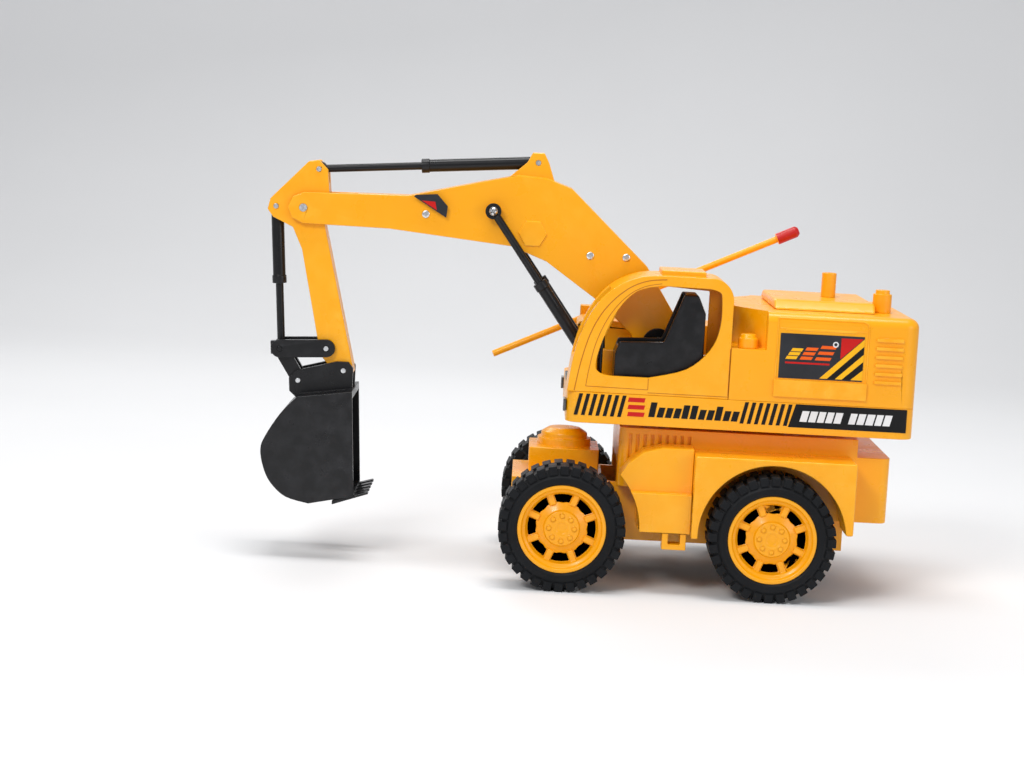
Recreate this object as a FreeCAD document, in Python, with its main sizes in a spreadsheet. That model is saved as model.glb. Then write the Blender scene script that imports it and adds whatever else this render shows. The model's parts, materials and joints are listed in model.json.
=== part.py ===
import FreeCAD, Part
import math
import os
import Sketcher

# Toy excavator on four wheels: chassis, turning house with cab, boom, stick and bucket.
# Millimetres.  +X points forward, +Y to the cab side, +Z up, and the ground is at Z = 0.
# Every piece is drawn about the turntable axis and then moved by -middle_x, so that the
# origin ends up under the middle of the whole machine.

Vector = FreeCAD.Vector
Rotation = FreeCAD.Rotation

SIZES = {
    # wheels and axles
    "wheel_radius": (31.5, "radius over the tyre lugs, and height of both axles"),
    "tyre_width": (26.0, "width of a tyre"),
    "track_half": (57.0, "machine centre plane to wheel centre plane"),
    "rim_radius": (22.0, "outer radius of a rim"),
    "front_axle_x": (84.0, "front axle, ahead of the turntable axis"),
    "rear_axle_x": (-20.0, "rear axle"),
    "stub_radius": (2.0, "front stub axles and rear axle rod"),
    "kingpin_y": (42.0, "kingpin, out from the centre plane"),
    "steer_arm": (14.0, "kingpin to tie rod, measured back"),
    "crank_reach": (12.0, "steering crank, shaft to pin"),
    "lug_count": (32.0, "lugs in one row of a tyre"),
    # chassis
    "keel_bottom": (20.5, "underside of the chassis"),
    "chassis_top": (80.0, "deck that carries the turntable"),
    "chassis_half": (41.0, "half width of the chassis box"),
    "keel_half": (28.0, "half width of the keel"),
    "fender_top": (71.0, "flat top of the rear fenders"),
    "fender_side": (66.0, "outer face of the rear fenders"),
    "arch_gap": (5.0, "tyre to wheel arch"),
    "wall": (2.2, "wall of a moulded piece"),
    # drive
    "gear_module": (0.8, "module of every gear"),
    "axle_teeth": (20.0, "teeth of the axle gear"),
    "pinion_teeth": (10.0, "teeth of each pinion"),
    "sector_teeth": (40.0, "teeth of the boom gear's full circle"),
    # house
    "house_bottom": (83.0, "underside of the turning house"),
    "tub_top": (98.5, "top of the striped skirt"),
    "house_front": (85.0, "front of the house"),
    "house_rear": (-88.0, "rear of the house"),
    "house_half": (54.0, "half width of the house"),
    "trough_half": (17.5, "half width of the boom's trough"),
    "cab_rear": (5.0, "rear wall of the cab"),
    "cab_height": (59.5, "skirt top to cab roof"),
    "side_deck_top": (128.0, "top of the box beside the boom"),
    "cab_deck_top": (124.0, "top of the low deck behind the cab"),
    "antenna_out": (3.6, "antenna axis, out from the side of the house"),
    "hub_well": (4.2, "recess in a rim that holds the hub cap"),
    "antenna_radius": (1.8, "radius of the antenna rod"),
    "engine_front": (-12.5, "front wall of the engine house"),
    "engine_top": (143.0, "top of the engine house"),
    # boom, stick and bucket
    "boom_foot_x": (39.0, "boom foot pin"),
    "boom_foot_z": (120.0, "boom foot pin"),
    "boom_reach": (185.0, "foot pin to stick pin, forward"),
    "boom_rise": (60.0, "foot pin to stick pin, up"),
    "boom_half": (9.5, "half width of the boom"),
    "stick_half": (6.5, "half width of the stick"),
    "stick_length": (86.3, "stick pin to bucket pin"),
    "bucket_half": (23.0, "half width of the bucket"),
    "ram_radius": (3.25, "barrel of every ram"),
    "ram_rod_radius": (2.0, "rod of every ram"),
    "ram_y": (13.2, "boom rams, out from the centre plane"),
    "pin_radius": (1.3, "pins of the linkage"),
    "running_gap": (0.08, "radial play of a turning fit"),
    "middle_x": (77.5, "turntable axis to the middle of the whole length"),
}


class Size:
    """A length that knows its number and the sheet expression behind it."""

    def __init__(self, number, text):
        self.number = number
        self.text = text

    def _join(self, sign, other, number):
        return Size(number, "(%s %s %s)" % (self.text, sign, as_size(other).text))

    def __add__(self, other):
        return self._join("+", other, self.number + as_size(other).number)

    def __sub__(self, other):
        return self._join("-", other, self.number - as_size(other).number)

    def __mul__(self, other):
        return self._join("*", other, self.number * as_size(other).number)

    def __truediv__(self, other):
        return self._join("/", other, self.number / as_size(other).number)

    def __radd__(self, other):
        return as_size(other) + self

    def __rsub__(self, other):
        return as_size(other) - self

    def __rmul__(self, other):
        return as_size(other) * self

    def __neg__(self):
        return Size(-self.number, "(0 - %s)" % self.text)


def as_size(value):
    if isinstance(value, Size):
        return value
    return Size(float(value), "%.6g" % value if value >= 0 else "(0 - %.6g)" % -value)


def root(value):
    return Size(math.sqrt(value.number), "sqrt(%s)" % value.text)


def make_sheet(doc):
    sheet = doc.addObject("Spreadsheet::Sheet", "Sizes")
    for row, (name, (value, note)) in enumerate(SIZES.items(), start=1):
        sheet.set("A%d" % row, name)
        sheet.set("B%d" % row, "%g" % value)
        sheet.set("C%d" % row, note)
        sheet.setAlias("B%d" % row, name)
    doc.recompute()
    return sheet


class Sheet:
    """Gives every driving dimension as an attribute."""

    def __getattr__(self, name):
        return Size(float(SIZES[name][0]), "Sizes." + name)


s = Sheet()
doc = FreeCAD.newDocument("toy_excavator")
make_sheet(doc)
pieces = []
spots = {}


# ---------------------------------------------------------------- solids from primitives

def bind(thing, prop, value):
    """Set a property, and tie it to the sheet when the value comes from there."""
    value = as_size(value)
    setattr(thing, prop, value.number)
    thing.setExpression(prop, value.text)


def place(thing, x=0, y=0, z=0, rotation=None):
    spots = [as_size(value) for value in (x, y, z)]
    base = Vector(*[spot.number for spot in spots])
    thing.Placement = FreeCAD.Placement(base, rotation or Rotation())
    for axis, spot in zip("xyz", spots):
        thing.setExpression(".Placement.Base." + axis, spot.text)
    return thing


def primitive(thing, x, y, z, rotation=None):
    """Place a block or bar, and remember where it stands."""
    spots[thing.Name] = [as_size(value) for value in (x, y, z)]
    return place(thing, x, y, z, rotation)


def box(xs, ys, zs):
    """Block between two limits along each axis."""
    thing = doc.addObject("Part::Box", "Block")
    for prop, limits in zip(("Length", "Width", "Height"), (xs, ys, zs)):
        bind(thing, prop, as_size(limits[1]) - limits[0])
    return primitive(thing, xs[0], ys[0], zs[0])


ALONG = {
    "x": Rotation(Vector(0, 1, 0), 90),
    "y": Rotation(Vector(1, 0, 0), -90),
    "z": Rotation(),
}


def bar(axis, radius, limits, x=0, y=0, z=0, top_radius=None):
    """Round bar, or cone when top_radius is given, along an axis between two limits."""
    kind = "Part::Cylinder" if top_radius is None else "Part::Cone"
    thing = doc.addObject(kind, "Bar")
    if top_radius is None:
        bind(thing, "Radius", radius)
    else:
        bind(thing, "Radius1", radius)
        bind(thing, "Radius2", top_radius)
    bind(thing, "Height", as_size(limits[1]) - limits[0])
    spot = {"x": x, "y": y, "z": z}
    spot[axis] = limits[0]
    return primitive(thing, spot["x"], spot["y"], spot["z"], ALONG[axis])


def fuse(*things):
    if len(things) == 1:
        return things[0]
    thing = doc.addObject("Part::MultiFuse", "Union")
    thing.Shapes = list(things)
    return thing


def cut(base, *tools):
    thing = doc.addObject("Part::Cut", "Difference")
    thing.Base = base
    thing.Tool = fuse(*tools)
    return thing


def group(*things):
    """Separate solids that make up one piece, such as a set of fasteners."""
    thing = doc.addObject("Part::Compound", "Group")
    thing.Links = list(things)
    return thing


def common(base, tool):
    thing = doc.addObject("Part::Common", "Overlap")
    thing.Base = base
    thing.Tool = tool
    return thing


def piece(label, thing, x=0, y=0, z=0, rotation=None):
    """Name a finished piece and put it in its place."""
    thing.Label = label
    shift = [as_size(x) - s.middle_x, as_size(y), as_size(z)]
    if thing.Name in spots:
        shift = [own + move for own, move in zip(spots[thing.Name], shift)]
        rotation = thing.Placement.Rotation
    place(thing, *shift, rotation)
    pieces.append(thing)
    return thing


# ---------------------------------------------------------------- solids from sketches

# For each sketch plane: its role, the axes drawn on it, and the sign of its normal.
PLANES = {
    "side": ("XZ_Plane", "xz", "y", -1),
    "plan": ("XY_Plane", "xy", "z", 1),
    "front": ("YZ_Plane", "yz", "x", 1),
}


def new_body(name):
    return doc.addObject("PartDesign::Body", name)


def new_sketch(body, plane, offset):
    """Sketch on one of the body's own origin planes, moved along the plane's axis."""
    role, _, _, sign = PLANES[plane]
    sketch = body.newObject("Sketcher::SketchObject", "Outline")
    base = [feature for feature in body.Origin.OriginFeatures if feature.Role == role][0]
    sketch.AttachmentSupport = [(base, "")]
    sketch.MapMode = "FlatFace"
    shift = as_size(offset) * sign
    sketch.AttachmentOffset = FreeCAD.Placement(Vector(0, 0, shift.number), Rotation())
    sketch.setExpression(".AttachmentOffset.Base.z", shift.text)
    return sketch


def fix_point(sketch, geometry, end, across, up):
    """Hold a point of the sketch at its two sheet lengths."""
    for kind, axis, value in (("DistanceX", -2, across), ("DistanceY", -1, up)):
        value = as_size(value)
        if abs(value.number) < 1e-9:
            sketch.addConstraint(Sketcher.Constraint("PointOnObject", geometry, end, axis))
            continue
        index = sketch.addConstraint(
            Sketcher.Constraint(kind, -1, 1, geometry, end, value.number))
        sketch.setExpression("Constraints[%d]" % index, value.text)


def draw_outline(sketch, points):
    spots = [Vector(as_size(a).number, as_size(b).number, 0) for a, b in points]
    first = sketch.GeometryCount
    for start, stop in zip(spots, spots[1:] + spots[:1]):
        sketch.addGeometry(Part.LineSegment(start, stop), False)
    count = len(points)
    for step, (across, up) in enumerate(points):
        fix_point(sketch, first + step, 1, across, up)
        following = first + (step + 1) % count
        sketch.addConstraint(Sketcher.Constraint("Coincident", first + step, 2, following, 1))


def draw_circle(sketch, across, up, radius):
    centre = Vector(as_size(across).number, as_size(up).number, 0)
    radius = as_size(radius)
    circle = sketch.addGeometry(Part.Circle(centre, Vector(0, 0, 1), radius.number), False)
    fix_point(sketch, circle, 3, across, up)
    index = sketch.addConstraint(Sketcher.Constraint("Radius", circle, radius.number))
    sketch.setExpression("Constraints[%d]" % index, radius.text)


def draw(sketch, shape):
    """Draw a circle given as (across, up, radius), or an outline given as a list."""
    if isinstance(shape, tuple):
        draw_circle(sketch, *shape)
    else:
        draw_outline(sketch, shape)


def pad(body, plane, limits, *shapes):
    """Add material between two limits along the plane's axis."""
    sign = PLANES[plane][3]
    sketch = new_sketch(body, plane, limits[0] if sign > 0 else limits[1])
    for shape in shapes:
        draw(sketch, shape)
    feature = body.newObject("PartDesign::Pad", "Pad")
    feature.Profile = sketch
    bind(feature, "Length", as_size(limits[1]) - limits[0])
    doc.recompute()
    return feature


def pocket(body, plane, limits, *shapes):
    """Remove material between two limits along the plane's axis."""
    sign = PLANES[plane][3]
    before = body.Shape.Volume
    sketch = new_sketch(body, plane, limits[1] if sign > 0 else limits[0])
    for shape in shapes:
        draw(sketch, shape)
    feature = body.newObject("PartDesign::Pocket", "Pocket")
    feature.Profile = sketch
    bind(feature, "Length", as_size(limits[1]) - limits[0])
    doc.recompute()
    if body.Shape.Volume > before - 0.01:
        raise RuntimeError("a pocket in %s removes nothing" % body.Name)
    return feature


def revolve(body, points):
    """Turn an outline of (radius, along) points about the body's Y axis."""
    sketch = new_sketch(body, "plan", 0)
    draw_outline(sketch, points)
    feature = body.newObject("PartDesign::Revolution", "Revolution")
    feature.Profile = sketch
    feature.ReferenceAxis = (sketch, ["V_Axis"])
    feature.Angle = 360.0
    doc.recompute()
    return feature


def origin_line(body, role):
    return [feature for feature in body.Origin.OriginFeatures if feature.Role == role][0]


def ring_of(body, feature, count, role="Y_Axis"):
    """Repeat a feature around one of the body's axes."""
    pattern = body.newObject("PartDesign::PolarPattern", "Ring")
    pattern.Originals = [feature]
    pattern.Axis = (origin_line(body, role), [""])
    pattern.Angle = 360.0
    bind_count(pattern, count)
    body.Tip = pattern
    doc.recompute()
    return pattern


def row_of(body, feature, count, length, role="X_Axis", backwards=False):
    """Repeat a feature in a straight row of the given total length."""
    pattern = body.newObject("PartDesign::LinearPattern", "Row")
    pattern.Originals = [feature]
    pattern.Direction = (origin_line(body, role), [""])
    pattern.Reversed = backwards
    bind(pattern, "Length", length)
    bind_count(pattern, count)
    body.Tip = pattern
    doc.recompute()
    return pattern


def bind_count(pattern, count):
    count = as_size(count)
    pattern.Occurrences = int(count.number)
    pattern.setExpression("Occurrences", count.text)


def corner_names(feature, plane, corners):
    """Edges that run along the plane's axis through the given corners."""
    _, drawn, along, _ = PLANES[plane]
    names = []
    for number, edge in enumerate(feature.Shape.Edges, start=1):
        if not isinstance(edge.Curve, Part.Line):
            continue
        ends = [vertex.Point for vertex in edge.Vertexes]
        if abs(getattr(ends[0] - ends[1], along)) < edge.Length - 1e-4:
            continue
        for across, up in corners:
            gap = (abs(getattr(ends[0], drawn[0]) - as_size(across).number)
                   + abs(getattr(ends[0], drawn[1]) - as_size(up).number))
            if gap < 1e-3:
                names.append("Edge%d" % number)
    return names


def round_corners(body, plane, radius, corners):
    """Fillet the named corners of the body's latest feature."""
    names = corner_names(body.Tip, plane, corners)
    if not names:
        raise RuntimeError("no corner to round in " + body.Name)
    feature = body.newObject("PartDesign::Fillet", "Fillet")
    feature.Base = (body.Tip if body.Tip != feature else feature.BaseFeature, names)
    bind(feature, "Radius", radius)
    doc.recompute()
    return feature


def shell(body, wall, axis, at):
    """Hollow the body, open on its flat face that lies at the given place."""
    tip = body.Tip
    spot = as_size(at).number
    faces = []
    for number, face in enumerate(tip.Shape.Faces, start=1):
        limits = face.BoundBox
        low = getattr(limits, axis.upper() + "Min")
        high = getattr(limits, axis.upper() + "Max")
        if abs(low - spot) < 1e-3 and abs(high - spot) < 1e-3:
            faces.append("Face%d" % number)
    feature = body.newObject("PartDesign::Thickness", "Shell")
    feature.Base = (tip, faces)
    bind(feature, "Value", wall)
    feature.Reversed = True
    feature.Join = 1
    doc.recompute()
    return feature


def side_span(side, near, far):
    """Limits along Y for the left (+1) or the right (-1) of the machine."""
    return (near, far) if side > 0 else (-as_size(far), -as_size(near))


def turned(points, degrees):
    """Points of a side sketch turned about its origin."""
    c = math.cos(math.radians(degrees))
    n = math.sin(math.radians(degrees))
    return [(as_size(a) * c + as_size(b) * n, as_size(b) * c - as_size(a) * n)
            for a, b in points]


def rectangle(xs, ys):
    return [(xs[0], ys[0]), (xs[1], ys[0]), (xs[1], ys[1]), (xs[0], ys[1])]


SIDES = (("left", 1), ("right", -1))
HALF_TURN = Rotation(Vector(0, 0, 1), 180)

# Named points of the linkage in the side view, as (x, z).
foot = (s.boom_foot_x, s.boom_foot_z)


def on_boom(along, up):
    """Point given as parts of the boom's reach and rise from its foot pin."""
    return (foot[0] + s.boom_reach * along, foot[1] + s.boom_rise * up)


def on_stick(along, up):
    """Point given as parts of the stick's length from its upper pin."""
    top = on_boom(1, 1)
    return (top[0] + s.stick_length * along, top[1] + s.stick_length * up)


antenna_side = s.house_half + s.antenna_out
antenna_low = (s.house_front + 39, s.tub_top + 4.5)
antenna_high = (s.cab_rear - 41, s.tub_top + 79.5)
stick_pin = on_boom(1, 1)
ram_foot = (foot[0] + 33, foot[1] - 12)
ram_eye = on_boom(0.4735, 1.0583)
stick_ram_lug = on_boom(0.3568, 1.4833)
stick_horn = on_stick(-0.0811, 0.2318)
bucket_horn = on_stick(0.1646, 0)
bucket_pin = on_stick(-0.2805, -0.9595)
rocker_pin = on_stick(-0.1716, -0.8323)
link_pin = on_stick(0.1066, -0.8473)
ear_pin = on_stick(-0.0116, -1.0316)


def between(start, stop):
    """Distance between two points of the side view."""
    across = stop[0] - start[0]
    up = stop[1] - start[1]
    return root(across * across + up * up)


def aim(start, stop):
    """Rotation that lays the X axis from one point of the side view to another."""
    across = stop[0].number - start[0].number
    up = stop[1].number - start[1].number
    return Rotation(Vector(0, -1, 0), math.degrees(math.atan2(up, across)))


# ---------------------------------------------------------------- wheels and axles

motor_x = s.rear_axle_x + s.gear_module * (s.axle_teeth + s.pinion_teeth) / 2 + 0.1

def tyre(side):
    body = new_body("tyre")
    half = s.tyre_width / 2
    tread = s.wheel_radius - 1.4
    wall = s.rim_radius
    revolve(body, [(wall, -half + 1), (wall + 1, -half), (wall + 3.8, -half),
                   (wall + 5, -half + 1.2), (tread, -half + 2.6), (tread, half - 2.6),
                   (wall + 5, half - 1.2), (wall + 3.8, half), (wall + 1, half),
                   (wall, half - 1)])
    lug = rectangle((-2.1, 2.1), (s.wheel_radius - 4.4, s.wheel_radius))
    ring_of(body, pad(body, "side", (0.5, half - 0.6), lug), s.lug_count)
    staggered = turned(lug, 180 / s.lug_count.number)
    ring_of(body, pad(body, "side", (-half + 0.6, -0.5), staggered), s.lug_count)
    return place(body, 0, s.track_half * side, 0, None if side > 0 else HALF_TURN)


def rim(side, bore):
    """Rim with a stepped lip, domed web, eight D openings and spokes, and its hub cap."""
    body = new_body("rim")
    half = s.tyre_width / 2 - 1
    outer = s.rim_radius
    inner = outer - 2
    revolve(body, [(bore, -9), (9, -9), (9, 4), (inner, 4), (inner, -half), (outer, -half),
                   (outer, half), (inner + 0.2, half), (inner - 0.4, half - 1.6),
                   (inner - 2, half - 2.6), (inner - 2.8, 6.8), (13, 6.8), (9, 8.8), (8.6, 9.9),
                   (s.hub_well, 9.9), (s.hub_well, 6.5), (bore, 6.5)])
    top = inner - 3.4
    opening = [(4, top), (-4, top)]
    opening += [(round(-4 * math.cos(math.pi * k / 8), 4),
                 top - round(4 * math.sin(math.pi * k / 8), 4)) for k in range(1, 8)]
    ring_of(body, pocket(body, "side", (3.9, 9), opening), 8)
    spoke = turned(rectangle((-1.5, 1.5), (12.2, inner - 1)), 22.5)
    ring_of(body, pad(body, "side", (6.5, 8.2), spoke), 8)
    ring_of(body, pad(body, "side", (9.8, 10.3), (0, 6.3, 1.25)), 8)
    cap = new_body("hub_cap")
    revolve(cap, [(0, 8.8), (s.hub_well, 8.8), (s.hub_well, 9.9), (3.2, 9.9), (2.4, 9.4), (0, 9.2)])
    return [place(part, 0, s.track_half * side, 0, None if side > 0 else HALF_TURN)
            for part in (body, cap)]


def make_wheels():
    running = s.stub_radius + s.running_gap
    tight = s.stub_radius + 0.01
    for name, side in SIDES:
        front = (s.front_axle_x, 0, s.wheel_radius)
        piece("front_%s_tyre" % name, group(tyre(side)), *front)
        piece("front_%s_rim" % name, group(*rim(side, running)), *front)
    rear = (s.rear_axle_x, 0, s.wheel_radius)
    piece("rear_tyres", group(tyre(1), tyre(-1)), *rear)
    piece("rear_rims", group(*rim(1, tight), *rim(-1, tight)), *rear)


def make_rear_axle():
    axle = bar("y", s.stub_radius, (-65, 65))
    nuts = []
    bushes = []
    for _, side in SIDES:
        hub = s.track_half + 6.6
        nut = bar("y", 3.4, side_span(side, hub, hub + 2))
        nuts.append(cut(nut, bar("y", s.stub_radius + 0.01, side_span(side, 60, 70))))
        sleeve = bar("y", 4.5, side_span(side, s.keel_half - 2.5, s.keel_half + 0.4))
        flange = bar("y", 5.6, side_span(side, s.keel_half, s.keel_half + 1.2))
        hole = bar("y", s.stub_radius + s.running_gap,
                   side_span(side, s.keel_half - 4, s.keel_half + 4))
        bushes.append(cut(fuse(sleeve, flange), hole))
    piece("rear_axle", group(axle, *nuts), s.rear_axle_x, 0, s.wheel_radius)
    piece("axle_bushes", group(*bushes), s.rear_axle_x, 0, s.wheel_radius)


def gear(teeth, limits, keep_below=None):
    """Spur gear about the Y axis, with one tooth on +Z."""
    body = new_body("gear")
    pitch = s.gear_module * teeth / 2
    root_radius = pitch - s.gear_module * 1.25
    pad(body, "side", limits, (0, 0, root_radius))
    tooth = [(-0.75, root_radius - 0.4), (0.75, root_radius - 0.4), (0.5, pitch),
             (0.25, pitch + s.gear_module), (-0.25, pitch + s.gear_module), (-0.5, pitch)]
    ring_of(body, pad(body, "side", limits, tooth), teeth)
    if keep_below is not None:
        far = pitch + 3
        pocket(body, "side", limits, rectangle((-far, far), (keep_below, far)))
        pad(body, "side", limits, (0, 0, 5))
    return body


def bored_gear(teeth, limits, bore, keep_below=None):
    body = gear(teeth, limits, keep_below)
    pocket(body, "side", (limits[0] - 1, limits[1] + 1), (0, 0, bore))
    return body


def pinion(limits, shaft_radius, shaft):
    """Small gear moulded on its own shaft."""
    body = gear(s.pinion_teeth, limits)
    pad(body, "side", shaft, (0, 0, shaft_radius))
    return body


def make_drive():
    """Gear on the rear axle, pinion on the motor shaft ahead of it."""
    wheel = bored_gear(s.axle_teeth, (9, 14), s.stub_radius + 0.01)
    piece("axle_gear", wheel, s.rear_axle_x, 0, s.wheel_radius)
    piece("drive_pinion", pinion((9, 14), 1, (-12, 15.5)), motor_x, 0, s.wheel_radius)
    can = fuse(bar("y", 7.5, (-14, 7)), bar("y", 3, (7, 8)))
    motor = cut(can, bar("y", 1 + s.running_gap, (-12.5, 9)))
    piece("drive_motor", motor, motor_x, 0, s.wheel_radius)


# ---------------------------------------------------------------- steering

def make_knuckle(name, side):
    """Upright on its kingpin, with the stub axle outward and the arm backward."""
    upright = bar("z", 3.5, (-9, 9))
    stub_end = s.track_half - s.kingpin_y + 6.8
    stub = bar("y", s.stub_radius, side_span(side, 2, stub_end))
    collar = bar("y", 4, side_span(side, 2, s.track_half - s.kingpin_y - 9.4))
    arm = box((-s.steer_arm - 2, 0), (-2, 2), (-7, -4.5))
    arm_pin = bar("z", 1.2, (-4.5, 0.5), -s.steer_arm)
    hole = bar("z", s.pin_radius + s.running_gap, (-10, 10))
    knuckle = cut(fuse(upright, stub, collar, arm, arm_pin), hole)
    head = bar("y", 3.1, side_span(side, stub_end + 0.1, stub_end + 1.6))
    piece("%s_knuckle" % name, group(knuckle, head), s.front_axle_x, s.kingpin_y * side, s.wheel_radius)


def cover_screws():
    """Places of the four screws of the battery cover, in plan."""
    return [(x, y) for x in (-52, 58) for y in (-20, 20)]


def make_front_axle():
    beam = [box((-5, 5), (-37, 37), (-2.5, 2.5)), box((-5, 5), (-12, 12), (2.5, 15.5))]
    pins = []
    for _, side in SIDES:
        beam.append(box((-4, 4), side_span(side, 34, 37.6), (-12, 12)))
        beam.append(box((-4, 4), side_span(side, 34, 45.3), (9.6, 12)))
        beam.append(box((-4, 4), side_span(side, 34, 45.3), (-12, -9.6)))
        pins.append(bar("z", s.pin_radius, (-12, 12), 0, s.kingpin_y * side))
    holes = [bar("z", s.pin_radius, (-13, 13), 0, s.kingpin_y * side) for _, side in SIDES]
    piece("front_axle_beam", cut(fuse(*beam), *holes), s.front_axle_x, 0, s.wheel_radius)
    low = s.keel_bottom - s.wheel_radius
    for x, y in cover_screws():
        pins.append(bar("z", 2.2, (low + 0.1, low + 0.9), x - s.front_axle_x, y))
    piece("chassis_fasteners", group(*pins), s.front_axle_x, 0, s.wheel_radius)


def make_steering():
    """Tie rod joining both arms, moved by a crank on the steering motor."""
    rod_x = s.front_axle_x - s.steer_arm
    bars = box((-2.5, 2.5), (-44.3, 44.3), (-4.2, -1.4))
    slots = [box((-1.8, 1.8), (y - as_size(1.3), y + as_size(1.3)), (-5, 0))
             for y in (-s.kingpin_y, as_size(0), s.kingpin_y)]
    piece("tie_rod", cut(bars, *slots), rod_x, 0, s.wheel_radius)
    arm = box((0, s.crank_reach + 2), (-2, 2), (-7.2, -4.7))
    hub = bar("z", 3.5, (-7.2, -4.7))
    pin = bar("z", 1.2, (-4.7, 0.5), s.crank_reach)
    shaft = bar("z", 1.5, (-4.7, 0))
    crank_x = rod_x - s.crank_reach
    piece("steering_crank", fuse(arm, hub, pin, shaft), crank_x, 0, s.wheel_radius)
    floor = s.keel_bottom + 1.5
    case = fuse(box((-9, 5), (-9, 9), (-2.5, 11)),
                box((-9, -5), (-9, 9), (floor - s.wheel_radius, -2.5)))
    motor = cut(case, bar("z", 1.5 + s.running_gap, (-3, 0.5)))
    piece("steering_motor", motor, crank_x, 0, s.wheel_radius)


# ---------------------------------------------------------------- chassis

def make_chassis_frame():
    """Hollow keel, box above it, rear block and nose, in one moulding."""
    body = new_body("chassis_frame")
    keel = (-s.keel_half, s.keel_half)
    full = (-s.chassis_half, s.chassis_half)
    nose = s.front_axle_x + 26
    pad(body, "side", keel, [(-60, s.keel_bottom), (66, s.keel_bottom), (66, 37), (nose, 37),
                             (nose, 50), (-60, 50)])
    pad(body, "plan", (50, s.chassis_top), rectangle((-63, 57), full))
    round_corners(body, "plan", 4, [(57, full[0]), (57, full[1])])
    pad(body, "plan", (38, s.fender_top), rectangle((-80, -45), full))
    round_corners(body, "plan", 5, [(-80, full[0]), (-80, full[1])])
    inner_keel = (-s.keel_half + 2.5, s.keel_half - 2.5)
    inner_full = (-s.chassis_half + 2.5, s.chassis_half - 2.5)
    pocket(body, "plan", (s.keel_bottom, 60), rectangle((-57.5, 63.5), inner_keel))
    pocket(body, "plan", (37, 47), rectangle((68.5, nose - 2.5), inner_keel))
    pocket(body, "plan", (52.5, s.chassis_top - 2.5), rectangle((-60.5, 54.5), inner_full))
    pocket(body, "plan", (38, s.fender_top - 2.5), rectangle((-77.5, -62), inner_full))
    pocket(body, "plan", (s.chassis_top - 3, s.chassis_top + 1), (0, 0, 12))
    pocket(body, "front", (63, 66.5), rectangle((-9, 9), (23.5, 33)))
    pocket(body, "front", (-80.5, -77), rectangle((-5, 5), (52, 56)))
    for _, side in SIDES:
        bush = (s.rear_axle_x, s.wheel_radius, 4.5)
        pocket(body, "side", side_span(side, s.keel_half - 3, s.keel_half + 0.1), bush)
        cooling = rectangle((50.6, 52.2), (60, s.chassis_top - 3))
        face = side_span(side, s.chassis_half - 1.2, s.chassis_half + 0.1)
        row_of(body, pocket(body, "side", face, cooling), 9, 29.6, backwards=True)
    piece("chassis_frame", body)


def fender(side):
    """Flat-topped cover round the rear wheel: side panel, top, arch and end walls."""
    hub = (s.rear_axle_x, s.wheel_radius)
    gap = s.wheel_radius + s.arch_gap
    xs = (hub[0] - gap - 3.5, hub[0] + gap + 3.5)
    wide = side_span(side, s.chassis_half, s.fender_side)
    top = s.fender_top
    panel = box(xs, side_span(side, s.fender_side - s.wall, s.fender_side), (29.5, top))
    roof = box(xs, wide, (top - s.wall, top))
    arch = common(bar("y", gap + 2, wide, hub[0], 0, hub[1]), box(xs, wide, (29.5, top)))
    ends = [box((xs[0], xs[0] + s.wall), wide, (35, top)),
            box((xs[1] - s.wall, xs[1]), wide, (50.7, top))]
    outside = side_span(side, s.chassis_half - 1, s.fender_side + 1)
    opening = bar("y", gap, outside, hub[0], 0, hub[1])
    short = box((xs[0] - 1, hub[0] - 20), outside, (20, 35))
    return cut(fuse(panel, roof, arch, *ends), opening, short)


def side_box(side):
    """Tank with a curved front on a lower box, with a step hanging from it."""
    body = new_body("side_box")
    rear = s.rear_axle_x + s.wheel_radius + s.arch_gap + 3.7
    tank = side_span(side, s.chassis_half, 58)
    lower = side_span(side, s.chassis_half, 62)
    pad(body, "side", tank, [(rear, 50.6), (rear, 73), (36, 73), (45, 70.5), (52, 65),
                             (56.5, 58), (58, 50.6)])
    pad(body, "side", lower, rectangle((rear, 58), (31, 50.6)))
    arch = (s.front_axle_x, s.wheel_radius, s.wheel_radius + 7)
    pocket(body, "side", side_span(side, s.chassis_half - 1, 63), arch)
    shell(body, s.wall, "y", s.chassis_half * side)
    step = side_span(side, 54, 61.9)
    pad(body, "side", step, [(22, 31.5), (22, 22.8), (34, 22.8), (34, 31.5), (31, 31.5),
                             (31, 25.6), (25, 25.6), (25, 31.5)])
    return body


def mudguard(side):
    wide = side_span(side, s.keel_half, s.chassis_half - 0.2)
    hub = (s.front_axle_x, s.wheel_radius)
    arch = s.wheel_radius + 7
    ring = cut(bar("y", arch + 2.5, wide, hub[0], 0, hub[1]),
               bar("y", arch, wide, hub[0], 0, hub[1]))
    return common(ring, box((40, 60), wide, (29, 49.8)))


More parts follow.
